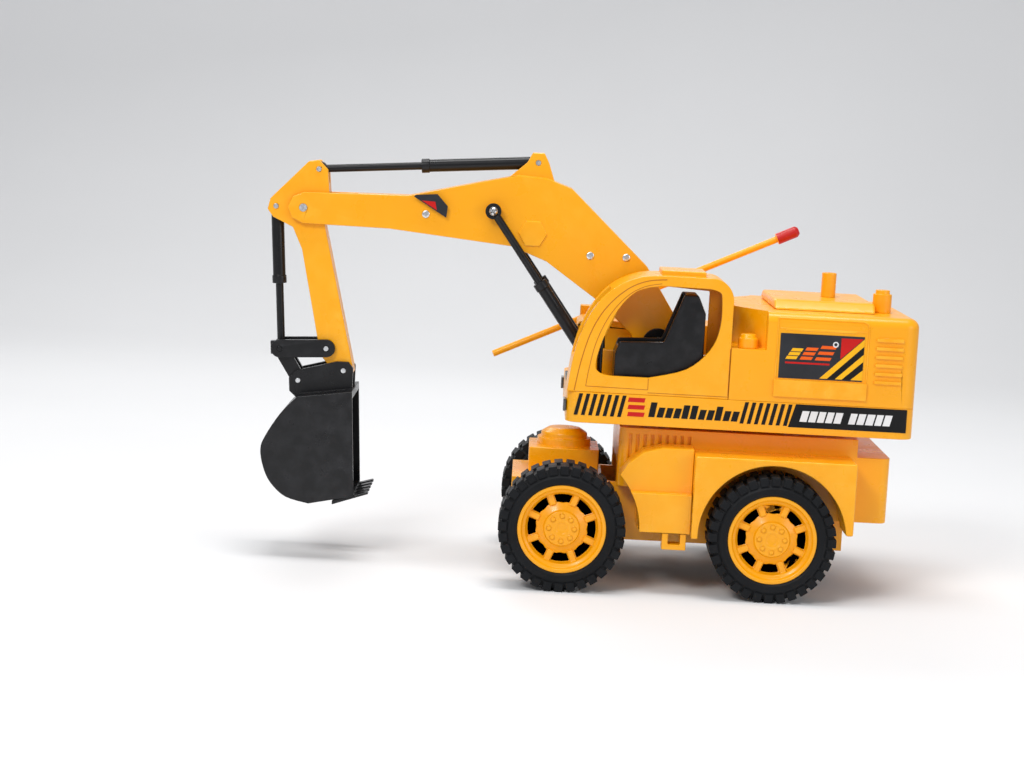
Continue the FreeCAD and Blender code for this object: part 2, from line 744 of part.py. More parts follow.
def make_chassis_details():
    tower = fuse(box((-18, 18), (-17, 17), (50, 64)), bar("z", 13.85, (64, 68)),
                 bar("z", 12, (68, 70.5)), bar("z", 12, (70.5, 73), top_radius=8))
    hollow = fuse(box((-15.8, 15.8), (-14.8, 14.8), (49, 61.8)), bar("z", 11.6, (61, 66)))
    piece("front_tower", cut(tower, hollow), s.front_axle_x)
    edge = s.keel_half - 2.7
    top = s.keel_bottom + 1.5
    cover = box((-57.3, 63.3), (-edge, edge), (s.keel_bottom, top))
    cradle = box((motor_x - 9, motor_x + 9), (-12, 6), (top, s.wheel_radius))
    rails = cut(box((20, 43), (-24.2, -14.2), (top, top + 5)),
                box((19, 44), (-22.2, -15.8), (top, top + 1.5)))
    slot = box((25.4, 32.6), (-21, -17), (s.keel_bottom - 1, top + 3))
    bed = bar("y", 7.52, (-13, 7), motor_x, 0, s.wheel_radius)
    wells = [bar("z", 2.3, (s.keel_bottom - 1, s.keel_bottom + 0.9), x, y)
             for x, y in cover_screws()]
    piece("belly_cover", cut(fuse(cover, cradle, rails), slot, bed, *wells))
    piece("rear_fenders", group(fender(1), fender(-1)))
    piece("side_boxes", group(side_box(1), side_box(-1), mudguard(1), mudguard(-1)))
    piece("battery_pack", box((6, 46), (-9, 23), (top, top + 16)))
    knob = fuse(box((26, 29), (-20.4, -17.6), (s.keel_bottom + 0.2, top + 0.6)),
                box((23, 35), (-22, -16), (top + 0.15, top + 1.2)))
    piece("power_switch", knob)
    socket = cut(box((-79.6, -70), (-4.8, 4.8), (52.2, 55.8)),
                 box((-81, -73), (-4.2, 4.2), (52.8, 55.2)))
    piece("charge_socket", fuse(socket, box((-81, -71), (-3.4, 3.4), (53.7, 54.3))))
    ring = cut(bar("z", 30, (s.chassis_top, s.house_bottom - 0.3)),
               bar("z", 12.6, (s.chassis_top - 1, s.house_bottom)))
    piece("turntable_ring", ring)


# ---------------------------------------------------------------- house

def make_tub():
    """Skirt and floor of the house, with the hollow hub that turns in the chassis."""
    body = new_body("house_tub")
    xs = (s.house_rear, s.house_front)
    ys = (-s.house_half, s.house_half)
    pad(body, "plan", (s.house_bottom, s.tub_top), rectangle(xs, ys))
    round_corners(body, "plan", 7, rectangle(xs, ys))
    shell(body, s.wall, "z", s.tub_top)
    floor = s.house_bottom + s.wall
    pad(body, "plan", (s.chassis_top - 3.6, s.house_bottom + 0.5), (0, 0, 11.9))
    for x in (-58, -17):
        for y in (-22, 22):
            pad(body, "plan", (floor - 0.5, floor + 4), (x, y, 2.5))
    pocket(body, "plan", (s.chassis_top - 4, floor + 1), (0, 0, 6))
    piece("house_tub", body)
    board = box((-62, -13), (-26, 26), (floor + 4, floor + 5.6))
    chip = box((-45, -33), (-6, 6), (floor + 5.6, floor + 7.6))
    crystal = box((-25, -20), (8, 18), (floor + 5.6, floor + 8.6))
    piece("circuit_board", fuse(board, chip, crystal))
    keeper = cut(bar("z", 16, (s.chassis_top - 5.6, s.chassis_top - 3.6)),
                 bar("z", 6, (s.chassis_top - 6, s.chassis_top)))
    screws = [bar("z", 1.5, (s.chassis_top - 6.8, s.chassis_top - 5.6),
                  9 * math.cos(turn), 9 * math.sin(turn))
              for turn in (math.pi / 2, math.pi * 7 / 6, math.pi * 11 / 6)]
    piece("turntable_keeper", group(keeper, *screws))


def eased(points, corners=(), steps=4):
    """Closed outline through the points, curved everywhere except at the numbered corners."""
    count = len(points)
    outline = []
    for i in range(count):
        j = (i + 1) % count
        start, stop = points[i], points[j]
        outline.append(start)
        if i in corners and j in corners:
            continue
        before = start if i in corners else points[i - 1]
        after = stop if j in corners else points[(j + 1) % count]
        for step in range(1, steps):
            u = step / steps
            w = (-u * (1 - u) ** 2 / 2, (2 - 5 * u ** 2 + 3 * u ** 3) / 2,
                 (u + 4 * u ** 2 - 3 * u ** 3) / 2, -u ** 2 * (1 - u) / 2)
            near = (before, start, stop, after)
            outline.append(tuple(round(sum(k * q[axis] for k, q in zip(w, near)), 5)
                                 for axis in (0, 1)))
    return outline


def in_cab(along, up):
    """Point given as parts of the cab's length and height from its lower rear corner."""
    length = s.house_front - s.cab_rear
    return (s.cab_rear + length * along, s.tub_top + s.cab_height * up)


def make_cab():
    body = new_body("cab_shell")
    inner = s.trough_half
    outer = s.house_half
    top_rear = in_cab(0, 1)
    front = [(0, 0), (1, 0), (0.975, 0.27), (0.93, 0.5), (0.85, 0.72), (0.73, 0.89),
             (0.57, 0.985), (0.4, 1), (0, 1)]
    pad(body, "side", (inner, outer), [in_cab(a, b) for a, b in eased(front, (0, 1, 7, 8))])
    round_corners(body, "side", 11, [top_rear])
    room = [(0.03, 0.035), (0.965, 0.035), (0.94, 0.27), (0.895, 0.49), (0.82, 0.69),
            (0.705, 0.85), (0.56, 0.94), (0.4, 0.955), (0.1, 0.955), (0.03, 0.86)]
    pocket(body, "side", (inner + s.wall, outer - s.wall),
           [in_cab(a, b) for a, b in eased(room, (0, 1, 7, 8, 9))])
    window = [(0.83, 0.24), (0.8, 0.165), (0.72, 0.145), (0.5, 0.145), (0.27, 0.23), (0.13, 0.4),
              (0.075, 0.6), (0.075, 0.84), (0.095, 0.89), (0.15, 0.91), (0.45, 0.915),
              (0.6, 0.86), (0.71, 0.7), (0.79, 0.46)]
    pocket(body, "side", (outer - s.wall - 0.5, outer + 0.1),
           [in_cab(a, b) for a, b in eased(window, (2, 3, 9, 10))])
    inside = [in_cab(0.8, 0.3), in_cab(0.12, 0.3), in_cab(0.12, 0.85), in_cab(0.5, 0.88),
              in_cab(0.66, 0.75)]
    pocket(body, "side", (inner - 0.1, inner + s.wall + 0.5), inside)
    glass = (inner + 5.5, outer - 5.5)
    pocket(body, "front", (45, 90), rectangle(glass, (s.tub_top + 16, s.tub_top + 51)))
    back = (s.cab_rear - 1, s.cab_rear + 3.5)
    pocket(body, "front", back, rectangle(glass, (s.tub_top + 26, s.tub_top + 49)))
    roof = s.tub_top + s.cab_height
    panel = rectangle((s.cab_rear + 14, s.cab_rear + 36), (inner + 4, outer - 5))
    pad(body, "plan", (roof - 0.5, roof + 2.5), panel)
    piece("cab_shell", body)


def make_seat():
    body = new_body("seat")
    floor = s.tub_top + 2.2
    pad(body, "side", (24, 48), [(18, floor), (18, floor + 39), (22, floor + 48),
                                 (29, floor + 48), (38, floor + 24), (60, floor + 23),
                                 (62, floor + 17), (62, floor)])
    pocket(body, "side", (27, 45), [(30, floor + 50), (27, floor + 46), (35, floor + 21.5),
                                    (64, floor + 20.5), (64, floor + 25), (40, floor + 26)])
    piece("seat", body)
    levers = []
    for y in (30, 43):
        levers.append(bar("z", 3.6, (floor, floor + 2), 69, y))
        levers.append(bar("z", 1.1, (floor + 1.5, floor + 24), 69, y))
        levers.append(bar("z", 2, (floor + 19, floor + 27), 69, y, top_radius=1.5))
    piece("control_levers", group(fuse(*levers[:3]), fuse(*levers[3:])))


def make_decks():
    """Box beside the boom, open underneath, with the socket of the antenna."""
    body = new_body("right_box")
    xs = (s.engine_front + 0.2, s.house_front - 5)
    ys = (-s.house_half, -s.trough_half)
    pad(body, "plan", (s.tub_top, s.side_deck_top), rectangle(xs, ys))
    round_corners(body, "plan", 5, [(xs[1], ys[0])])
    round_corners(body, "front", 4, [(ys[0], s.side_deck_top)])
    shell(body, s.wall, "z", s.tub_top)
    shaft = (foot[0], foot[1], 3)
    pocket(body, "side", (-s.trough_half - s.wall - 0.5, -s.trough_half + 0.1), shaft)
    clip = box((68, 78), (-antenna_side - 2.8, -s.house_half + 1.2), (121, 132.5))
    bore = antenna_rod(bar("x", s.antenna_radius, (40, 80)))
    piece("right_deck", cut(fuse(body, clip), bore))


def deck_cap():
    middle = (s.engine_front + s.cab_rear) / 2
    cap = fuse(bar("z", 4.9, (s.cab_deck_top, s.cab_deck_top + 5), middle, 46.5),
               bar("z", 4.3, (s.cab_deck_top + 5, s.cab_deck_top + 7), middle, 46.5,
                   top_radius=3.6))
    return cap


def engine_nose(body):
    """Hollow front of the engine house, drawn in towards the boom by two slanted corners."""
    front = s.cab_rear - 0.3
    back = s.engine_front - 1.5
    edge = s.trough_half - 0.3
    floor = s.tub_top + 2.6
    pad(body, "plan", (floor, s.engine_top), rectangle((back, front), (-edge, edge)))
    for _, side in SIDES:
        low = s.cab_deck_top - 0.5 if side > 0 else s.side_deck_top + 0.3
        corner = [(back, edge * side - side), (front, edge * side - side), (front, 22 * side),
                  (back, 49 * side)]
        pad(body, "plan", (low, s.engine_top), corner)
        inside = [(back - 1, edge * side - 4 * side), (front - s.wall, edge * side - 4 * side),
                  (front - s.wall, 20.6 * side), (back - 1, 46 * side)]
        pocket(body, "plan", (low + 2, s.engine_top - s.wall), inside)
    pocket(body, "plan", (floor + s.wall, s.engine_top - s.wall),
           rectangle((back - 1, front - s.wall), (-edge + s.wall, edge - s.wall)))


def make_engine_house():
    body = new_body("engine_house")
    xs = (s.house_rear, s.engine_front)
    ys = (-s.house_half, s.house_half)
    pad(body, "plan", (s.tub_top, s.engine_top), rectangle(xs, ys))
    round_corners(body, "plan", 7, [(xs[0], ys[0]), (xs[0], ys[1])])
    round_corners(body, "front", 5, [(ys[0], s.engine_top), (ys[1], s.engine_top)])
    low_deck = rectangle((s.engine_front - 3, s.cab_rear - 0.2), (s.trough_half, s.house_half))
    pad(body, "plan", (s.tub_top, s.cab_deck_top), low_deck)
    shell(body, s.wall, "z", s.tub_top)
    for _, side in SIDES:
        rib = rectangle((-80, -66.5), (110.2, 111.8))
        louvre = pad(body, "side", side_span(side, s.house_half - 1, s.house_half + 1.1), rib)
        row_of(body, louvre, 6, 21, "Z_Axis")
        bulge = rectangle((-63, -17), (101.5, 110))
        pad(body, "side", side_span(side, s.house_half - 1, s.house_half + 1.3), bulge)
    engine_nose(body)
    piece("engine_house", body)
    hump = new_body("engine_hood")
    pad(hump, "front", (-68, -17), [(-36, s.engine_top), (36, s.engine_top),
                                    (30, s.engine_top + 5), (-30, s.engine_top + 5)])
    piece("engine_hood", hump)
    top = s.engine_top + 5
    pipe = cut(bar("z", 3.75, (top, top + 12.5), -48), bar("z", 2.6, (top + 3, top + 13), -48))
    deck = s.engine_top
    cleaner = fuse(bar("z", 4.75, (deck, deck + 9.5), -73, 20),
                   bar("z", 3.6, (deck + 9.5, deck + 11.5), -73, 20))
    stub = bar("z", 2.4, (deck, deck + 6), -76, 4)
    piece("roof_stacks", group(pipe, cleaner, stub, deck_cap()))


def make_house_fittings():
    x, z = foot
    deck = s.tub_top + 2
    edge = s.trough_half - 0.2
    cheeks = [box((s.engine_front + 0.2, s.house_front), (-edge, edge), (s.tub_top, deck))]
    for _, side in SIDES:
        cheek = side_span(side, s.boom_half + 0.3, s.boom_half + 3.2)
        cheeks.append(box((x - 12, x + 12), cheek, (deck, z)))
        cheeks.append(bar("y", 8, cheek, x, 0, z))
    hole = bar("y", s.stub_radius + s.running_gap, (-20, 20), x, 0, z)
    ram_x, ram_z = ram_foot
    parts = []
    for _, side in SIDES:
        parts.append(box((ram_x - 4, ram_x + 4), side_span(side, 6.3, 9.6), (deck, ram_z + 4)))
        parts.append(bar("y", s.pin_radius, side_span(side, 9, 16.7), ram_x, 0, ram_z))
    piece("boom_mount", cut(fuse(*cheeks, *parts), hole))
    lamps = []
    for y in (-46, 46):
        across = (y - 4.5, y + 4.5)
        lamps.append(box((s.house_front, s.house_front + 1.4), across, (88, 94)))
    piece("head_lamps", group(*lamps))


def make_boom_drive():
    """Motor and gearbox beside the boom foot; the pinion turns the boom's gear."""
    x, z = foot
    mesh = s.gear_module * (s.sector_teeth + s.pinion_teeth) / 2 + 0.1
    sector = bored_gear(s.sector_teeth, (-25, -21), s.stub_radius + 0.01, -4)
    piece("boom_gear", sector, x, 0, z)
    half_tooth = Rotation(Vector(0, 1, 0), 180 / s.pinion_teeth.number)
    small = pinion((-25, -21), 1.2, (-35, -20.6))
    piece("boom_pinion", small, x, 0, z - mesh, half_tooth)
    floor = s.house_bottom + s.wall
    case = cut(box((-8, 20), (-44, -29), (floor - z + mesh, 12)),
               bar("y", 1.2 + s.running_gap, (-35.5, -28)))
    motor = bar("x", 6.5, (20, 37), 0, -36.5, -1)
    piece("boom_gearmotor", group(case, motor), x, 0, z - mesh)
    shaft = fuse(bar("y", s.stub_radius, (-25.5, 14)), bar("y", 3.6, (s.boom_half + 3.4, s.boom_half + 5)))
    piece("boom_pivot", shaft, x, 0, z)


def antenna_rod(*parts):
    """Parts built along X, laid along the antenna from its lower end."""
    return place(group(*parts), antenna_low[0], -antenna_side, antenna_low[1],
                 aim(antenna_low, antenna_high))


def make_antenna():
    """Straight plastic rod beside the right deck, open at its lower end, capped at the top."""
    length = between(antenna_low, antenna_high)
    rod = fuse(bar("x", s.antenna_radius, (0, length)),
               bar("x", 3.1, (length - 11, length)),
               bar("x", 3.1, (length, length + 1.6), top_radius=1.8))
    piece("antenna_tube", cut(rod, bar("x", 1, (-1, 12))), antenna_low[0], -antenna_side,
          antenna_low[1], aim(antenna_low, antenna_high))


# ---------------------------------------------------------------- boom and rams

def make_boom_half(name, side):
    """Half of the hollow boom, open on the middle plane and forked round the stick."""
    body = new_body("boom_%s_half" % name)
    wide = side_span(side, 0.03, s.boom_half)
    tip = on_boom(1, 1)
    outline = [on_boom(-0.055, -0.06), on_boom(-0.05, 0.22), on_boom(0.005, 0.48),
               on_boom(0.04, 0.65), on_boom(0.26, 1.28), on_boom(0.33, 1.355),
               on_boom(0.41, 1.37), on_boom(0.51, 1.3), on_boom(0.71, 1.15),
               (tip[0], tip[1] + 8), (tip[0] + 5.5, tip[1] + 5.5), (tip[0] + 8, tip[1]),
               (tip[0] + 5.5, tip[1] - 5.5), (tip[0], tip[1] - 8), on_boom(0.76, 0.86),
               on_boom(0.48, 0.78), on_boom(0.42, 0.765), on_boom(0.32, 0.65),
               on_boom(0.17, 0.333), on_boom(0.075, 0.07), on_boom(0.05, -0.13),
               on_boom(0, -0.19), on_boom(-0.04, -0.14)]
    pad(body, "side", wide, outline)
    shell(body, 1.8, "y", 0.03 * side)
    root_x = tip[0] - 27
    slot = rectangle((root_x, tip[0] + 12), (tip[1] - 12, tip[1] + 12))
    pocket(body, "side", side_span(side, 0, s.stick_half + 0.5), slot)
    lug_x, lug_z = stick_ram_lug
    lug = side_span(side, 3.6, 5.8)
    foot_of_lug = on_boom(0.3, 1.25)
    end_of_lug = on_boom(0.46, 1.28)
    pad(body, "side", lug, [foot_of_lug, end_of_lug, (lug_x + 5.6, lug_z), (lug_x + 3, lug_z + 5),
                            (lug_x - 3, lug_z + 5), (lug_x - 5.6, lug_z)])
    boss = side_span(side, s.boom_half - 0.5, s.boom_half + 2)
    pad(body, "side", boss, (ram_eye[0], ram_eye[1], 3.2))
    hex_x, hex_z = on_boom(0.362, 0.883)
    hexagon = [(hex_x + 7.3 * math.cos(math.radians(a)), hex_z + 7.3 * math.sin(math.radians(a)))
               for a in range(0, 360, 60)]
    pad(body, "side", side_span(side, s.boom_half - 0.5, s.boom_half + 1), hexagon)
    hub = side_span(side, 0.03, s.boom_half)
    pad(body, "side", hub, (foot[0], foot[1], 5))
    through = side_span(side, -0.1, s.boom_half + 4)
    pocket(body, "side", through, (foot[0], foot[1], s.stub_radius + 0.01))
    pocket(body, "side", through, (tip[0], tip[1], s.stub_radius))
    pocket(body, "side", through, (lug_x, lug_z, s.pin_radius))
    pocket(body, "side", side_span(side, 5, s.boom_half + 4), (ram_eye[0], ram_eye[1], s.pin_radius))
    piece("boom_%s_half" % name, body)


def make_boom_fasteners():
    x, z = ram_eye
    screws = []
    for _, side in SIDES:
        screws.append(bar("y", s.pin_radius, side_span(side, 5.2, s.ram_y + 2), x, 0, z))
        screws.append(bar("y", 3, side_span(side, s.ram_y + 1.6, s.ram_y + 3.2), x, 0, z))
    half = s.boom_half
    pin = bar("y", s.stub_radius, (-half, half), stick_pin[0], 0, stick_pin[1])
    lug_pin = bar("y", s.pin_radius, (-6, 6), stick_ram_lug[0], 0, stick_ram_lug[1])
    ends = [pin, lug_pin, fuse(*screws[:2]), fuse(*screws[2:])]
    for along, up in ((0.1, 0.72), (0.66, 1.0), (0.2, 0.72)):
        spot = on_boom(along, up)
        for _, side in SIDES:
            head = side_span(side, half, half + 0.7)
            ends.append(bar("y", 2, head, spot[0], 0, spot[1]))
    piece("boom_fasteners", group(*ends))


def ram_barrel(length, y=0, eye=None):
    """Barrel whose eye sits on its pin, with a collar at its open end."""
    radius = s.ram_radius
    half = radius if eye is None else eye
    solid = fuse(bar("y", radius, (-half, half)), bar("x", radius, (4, length)),
                 bar("x", s.ram_rod_radius + 0.4, (0, 6)),
                 bar("x", radius + 0.45, (as_size(length) - 4, length)))
    holes = [bar("y", s.pin_radius + s.running_gap, (-5, 5)),
             bar("x", s.ram_rod_radius + s.running_gap, (8, as_size(length) + 1))]
    return place(cut(solid, *holes), 0, y, 0)


def ram_rod(reach, inner, hole, y=0, eye_radius=4.1, eye_half=1.4):
    """Rod drawn from the barrel's pin, ending in a loose eye on the far pin."""
    solid = fuse(bar("x", s.ram_rod_radius, (inner, reach - eye_radius + 0.6)),
                 bar("y", eye_radius, (-eye_half, eye_half), reach))
    return place(cut(solid, bar("y", hole, (-6, 6), reach)), 0, y, 0)


def slotted_rod(reach, inner):
    """Rod of the bucket ram: its eye is a slot, because the rocker pin swings on an arc."""
    solid = fuse(bar("x", s.ram_rod_radius, (inner, reach - 3)),
                 box((reach - 3.4, reach + 3.4), (-2.2, 2.2), (-5.4, 5.4)))
    return cut(solid, box((reach - 1.8, reach + 1.8), (-3, 3), (-3.7, 3.7)))


def make_rams():
    """Two boom rams that move as a pair, one stick ram and one bucket ram."""
    lifts = ("boom_ram", ram_foot, ram_eye)
    reach = between(ram_foot, ram_eye)
    hold_ram(*lifts, [ram_barrel(50, s.ram_y * side) for _, side in SIDES],
             [ram_rod(reach, 20, 2.6, s.ram_y * side) for _, side in SIDES])
    reach = between(stick_ram_lug, stick_horn)
    hold_ram("stick_ram", stick_ram_lug, stick_horn, [ram_barrel(60)],
             [ram_rod(reach, 30, 2.3, 0, 3.8, 2.2)])
    reach = between(bucket_horn, link_pin)
    hold_ram("bucket_ram", bucket_horn, link_pin, [ram_barrel(40, 0, 2.5)],
             [slotted_rod(reach, 20)])


def hold_ram(name, start, stop, barrels, rods):
    turn = aim(start, stop)
    piece(name + "_barrel", group(*barrels), start[0], 0, start[1], turn)
    piece(name + "_rod", group(*rods), start[0], 0, start[1], turn)


# ---------------------------------------------------------------- stick and bucket

def make_stick_half(name, side):
    body = new_body("stick_%s_half" % name)
    wide = side_span(side, 0.03, s.stick_half)
    points = [(-0.135, 0.23), (-0.08, 0.285), (-0.02, 0.275), (0.2, 0.045), (0.215, -0.02),
              (0.18, -0.065), (0.06, -0.12), (0.0, -0.25), (-0.115, -0.78), (-0.115, -0.85),
              (-0.225, -0.98), (-0.26, -1.017), (-0.31, -1.017), (-0.338, -0.97), (-0.332, -0.93),
              (-0.13, -0.1), (-0.15, 0.09)]
    pad(body, "side", wide, [on_stick(a, b) for a, b in points])
    shell(body, 1.6, "y", 0.03 * side)
    for spot, radius in ((stick_pin, 4.5), (bucket_pin, 3.6), (rocker_pin, 3.4)):
        pad(body, "side", wide, (spot[0], spot[1], radius))
    for spot, reach, half in ((stick_horn, 8.5, 2.9), (bucket_horn, 9, s.ram_radius + 0.35)):
        pocket(body, "side", side_span(side, 0, half), (spot[0], spot[1], reach))
    through = side_span(side, -0.1, s.stick_half + 0.1)
    pocket(body, "side", through, (stick_pin[0], stick_pin[1], s.stub_radius + s.running_gap))
    pocket(body, "side", through, (bucket_pin[0], bucket_pin[1], s.pin_radius + s.running_gap))
    for spot in (rocker_pin, stick_horn, bucket_horn):
        pocket(body, "side", through, (spot[0], spot[1], s.pin_radius))
    piece("stick_%s_half" % name, body)


def make_stick_pins():
    half = s.stick_half
    pins = ((stick_horn, half + 0.6), (bucket_horn, half + 0.6), (rocker_pin, half + 3.4))
    piece("stick_pins", group(*[bar("y", s.pin_radius, (-reach, reach), spot[0], 0, spot[1])
                                for spot, reach in pins]))


def strap(start, stop, radius, limits, holes):
    """Flat link with round ends between two points of the side view."""
    length = between(start, stop)
    flat = box((0, length), (limits[0], limits[1]), (-as_size(radius), radius))
    ends = [bar("y", radius, limits), bar("y", radius, limits, length)]
    cuts = [bar("y", hole, (-20, 20), reach) for hole, reach in zip(holes, (as_size(0), length))]
    return cut(fuse(flat, *ends), *cuts)


def make_linkage():
    inner = s.stick_half + 0.3
    outer = s.stick_half + 2.8
    fit = s.pin_radius + s.running_gap
    plates = [strap(rocker_pin, link_pin, 4.6, side_span(side, inner, outer), (fit, s.pin_radius))
              for _, side in SIDES]
    length = between(rocker_pin, link_pin)
    pin = bar("y", s.pin_radius, (-outer - 0.4, outer + 0.4), length)
    piece("bucket_rocker", group(*plates, pin), rocker_pin[0], 0, rocker_pin[1],
          aim(rocker_pin, link_pin))
    links = [strap(link_pin, ear_pin, 3.6, side_span(side, 3.4, s.stick_half - 0.1), (fit, 2.3))
             for _, side in SIDES]
    piece("bucket_link", group(*links), link_pin[0], 0, link_pin[1], aim(link_pin, ear_pin))


def at_bucket(along, up):
    return (bucket_pin[0] + along, bucket_pin[1] + up)


def make_bucket():
    """Curved bucket, open towards the machine, with ears and five teeth."""
    body = new_body("bucket")
    half = s.bucket_half
    back = [(-6, -9), (22, -13), (30.2, -22), (37.5, -34), (39.7, -41), (38, -50), (34, -58),
            (26, -65), (14, -68), (-9, -63)]
    room = [(-20, -11.5), (20.5, -15.5), (28.3, -23.5), (35.4, -35), (37.3, -41), (35.8, -49),
            (32, -56.3), (25, -62.7), (14, -65.6), (-20, -60)]
    pad(body, "side", (-half, half), [at_bucket(a, b) for a, b in eased(back, (0, 1, 8, 9))])
    pocket(body, "side", (-half + 2, half - 2),
           [at_bucket(a, b) for a, b in eased(room, (0, 1, 8, 9))])
    ear = [(-5, -9.5), (-5, 1.5), (-2.5, 4.6), (3.5, 4.6), (24, -1), (28, -5), (27.5, -12),
           (24, -15), (21, -13.2)]
    for _, side in SIDES:
        ears = side_span(side, s.stick_half + 0.3, s.stick_half + 2.8)
        pad(body, "side", ears, [at_bucket(a, b) for a, b in ear])
        holes = side_span(side, s.stick_half, s.stick_half + 3.5)
        pocket(body, "side", holes, (bucket_pin[0], bucket_pin[1], s.pin_radius))
        pocket(body, "side", holes, (ear_pin[0], ear_pin[1], s.pin_radius))
    tooth = [(2, -65.8), (-16, -60.5), (-16.5, -61.6), (2, -68)]
    first = pad(body, "side", (-half + 1, -half + 6), [at_bucket(a, b) for a, b in tooth])
    row_of(body, first, 5, s.bucket_half * 2 - 7, "Y_Axis")
    piece("bucket", body)
    outer = s.stick_half + 2.9
    reach = (-outer - 0.3, outer + 0.3)
    pins = [bar("y", s.pin_radius, reach, spot[0], 0, spot[1]) for spot in (bucket_pin, ear_pin)]
    piece("bucket_pins", group(*pins))


def build():
    make_chassis_frame()
    make_chassis_details()
    for name, side in SIDES:
        make_knuckle(name, side)
        make_boom_half(name, side)
        make_stick_half(name, side)
    make_front_axle()
    make_steering()
    make_wheels()
    make_rear_axle()
    make_drive()
    make_tub()
    make_cab()
    make_seat()
    make_decks()
    make_engine_house()
    make_house_fittings()
    make_boom_drive()
    make_antenna()
    make_boom_fasteners()
    make_rams()
    make_stick_pins()
    make_linkage()
    make_bucket()


def check_pieces():
    """Stop before anything is written if a feature failed or a piece is not sound."""
    for thing in doc.Objects:
        if "Invalid" in thing.State or "Error" in thing.State:
            raise RuntimeError("%s failed: %s" % (thing.Label, thing.State))
    for thing in pieces:
        if thing.Shape.isNull() or not thing.Shape.isValid() or thing.Shape.Volume < 0.5:
            raise RuntimeError("the shape of %s is not sound" % thing.Label)


def write_pieces():
    os.makedirs("parts", exist_ok=True)
    for thing in pieces:
        thing.Shape.exportStep(os.path.join("parts", thing.Label + ".step"))


build()
doc.recompute()
check_pieces()
write_pieces()
whole = FreeCAD.BoundBox()
for thing in pieces:
    whole.add(thing.Shape.BoundBox)
print(len(pieces), "pieces, box", [round(v, 2) for v in (
    whole.XMin, whole.XMax, whole.YMin, whole.YMax, whole.ZMin, whole.ZMax)])
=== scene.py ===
import json
import math

import bmesh
import bpy
from mathutils import Matrix, Vector
from mathutils.bvhtree import BVHTree


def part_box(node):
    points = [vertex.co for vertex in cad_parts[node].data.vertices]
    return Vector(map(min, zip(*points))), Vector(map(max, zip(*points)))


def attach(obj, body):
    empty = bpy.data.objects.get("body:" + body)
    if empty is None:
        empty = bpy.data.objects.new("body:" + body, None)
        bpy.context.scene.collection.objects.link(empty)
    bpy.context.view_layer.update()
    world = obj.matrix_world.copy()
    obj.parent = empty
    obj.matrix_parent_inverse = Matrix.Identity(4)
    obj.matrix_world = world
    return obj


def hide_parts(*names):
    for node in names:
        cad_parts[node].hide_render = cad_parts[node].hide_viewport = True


MM = 0.001
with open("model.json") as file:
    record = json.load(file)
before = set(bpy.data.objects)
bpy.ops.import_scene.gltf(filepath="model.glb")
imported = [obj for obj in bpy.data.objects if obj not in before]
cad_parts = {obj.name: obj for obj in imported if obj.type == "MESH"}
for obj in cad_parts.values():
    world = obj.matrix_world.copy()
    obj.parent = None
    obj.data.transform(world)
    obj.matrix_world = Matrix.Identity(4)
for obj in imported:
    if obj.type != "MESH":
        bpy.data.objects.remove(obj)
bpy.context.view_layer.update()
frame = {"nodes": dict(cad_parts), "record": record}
record = frame["record"]
body_of = {node: body for body, nodes in record["behaviour"]["bodies"].items() for node in nodes}
slot_of = {part["node"]: part["material_slot"] for part in record["subparts"]}


# ---------------------------------------------------------------- finishes


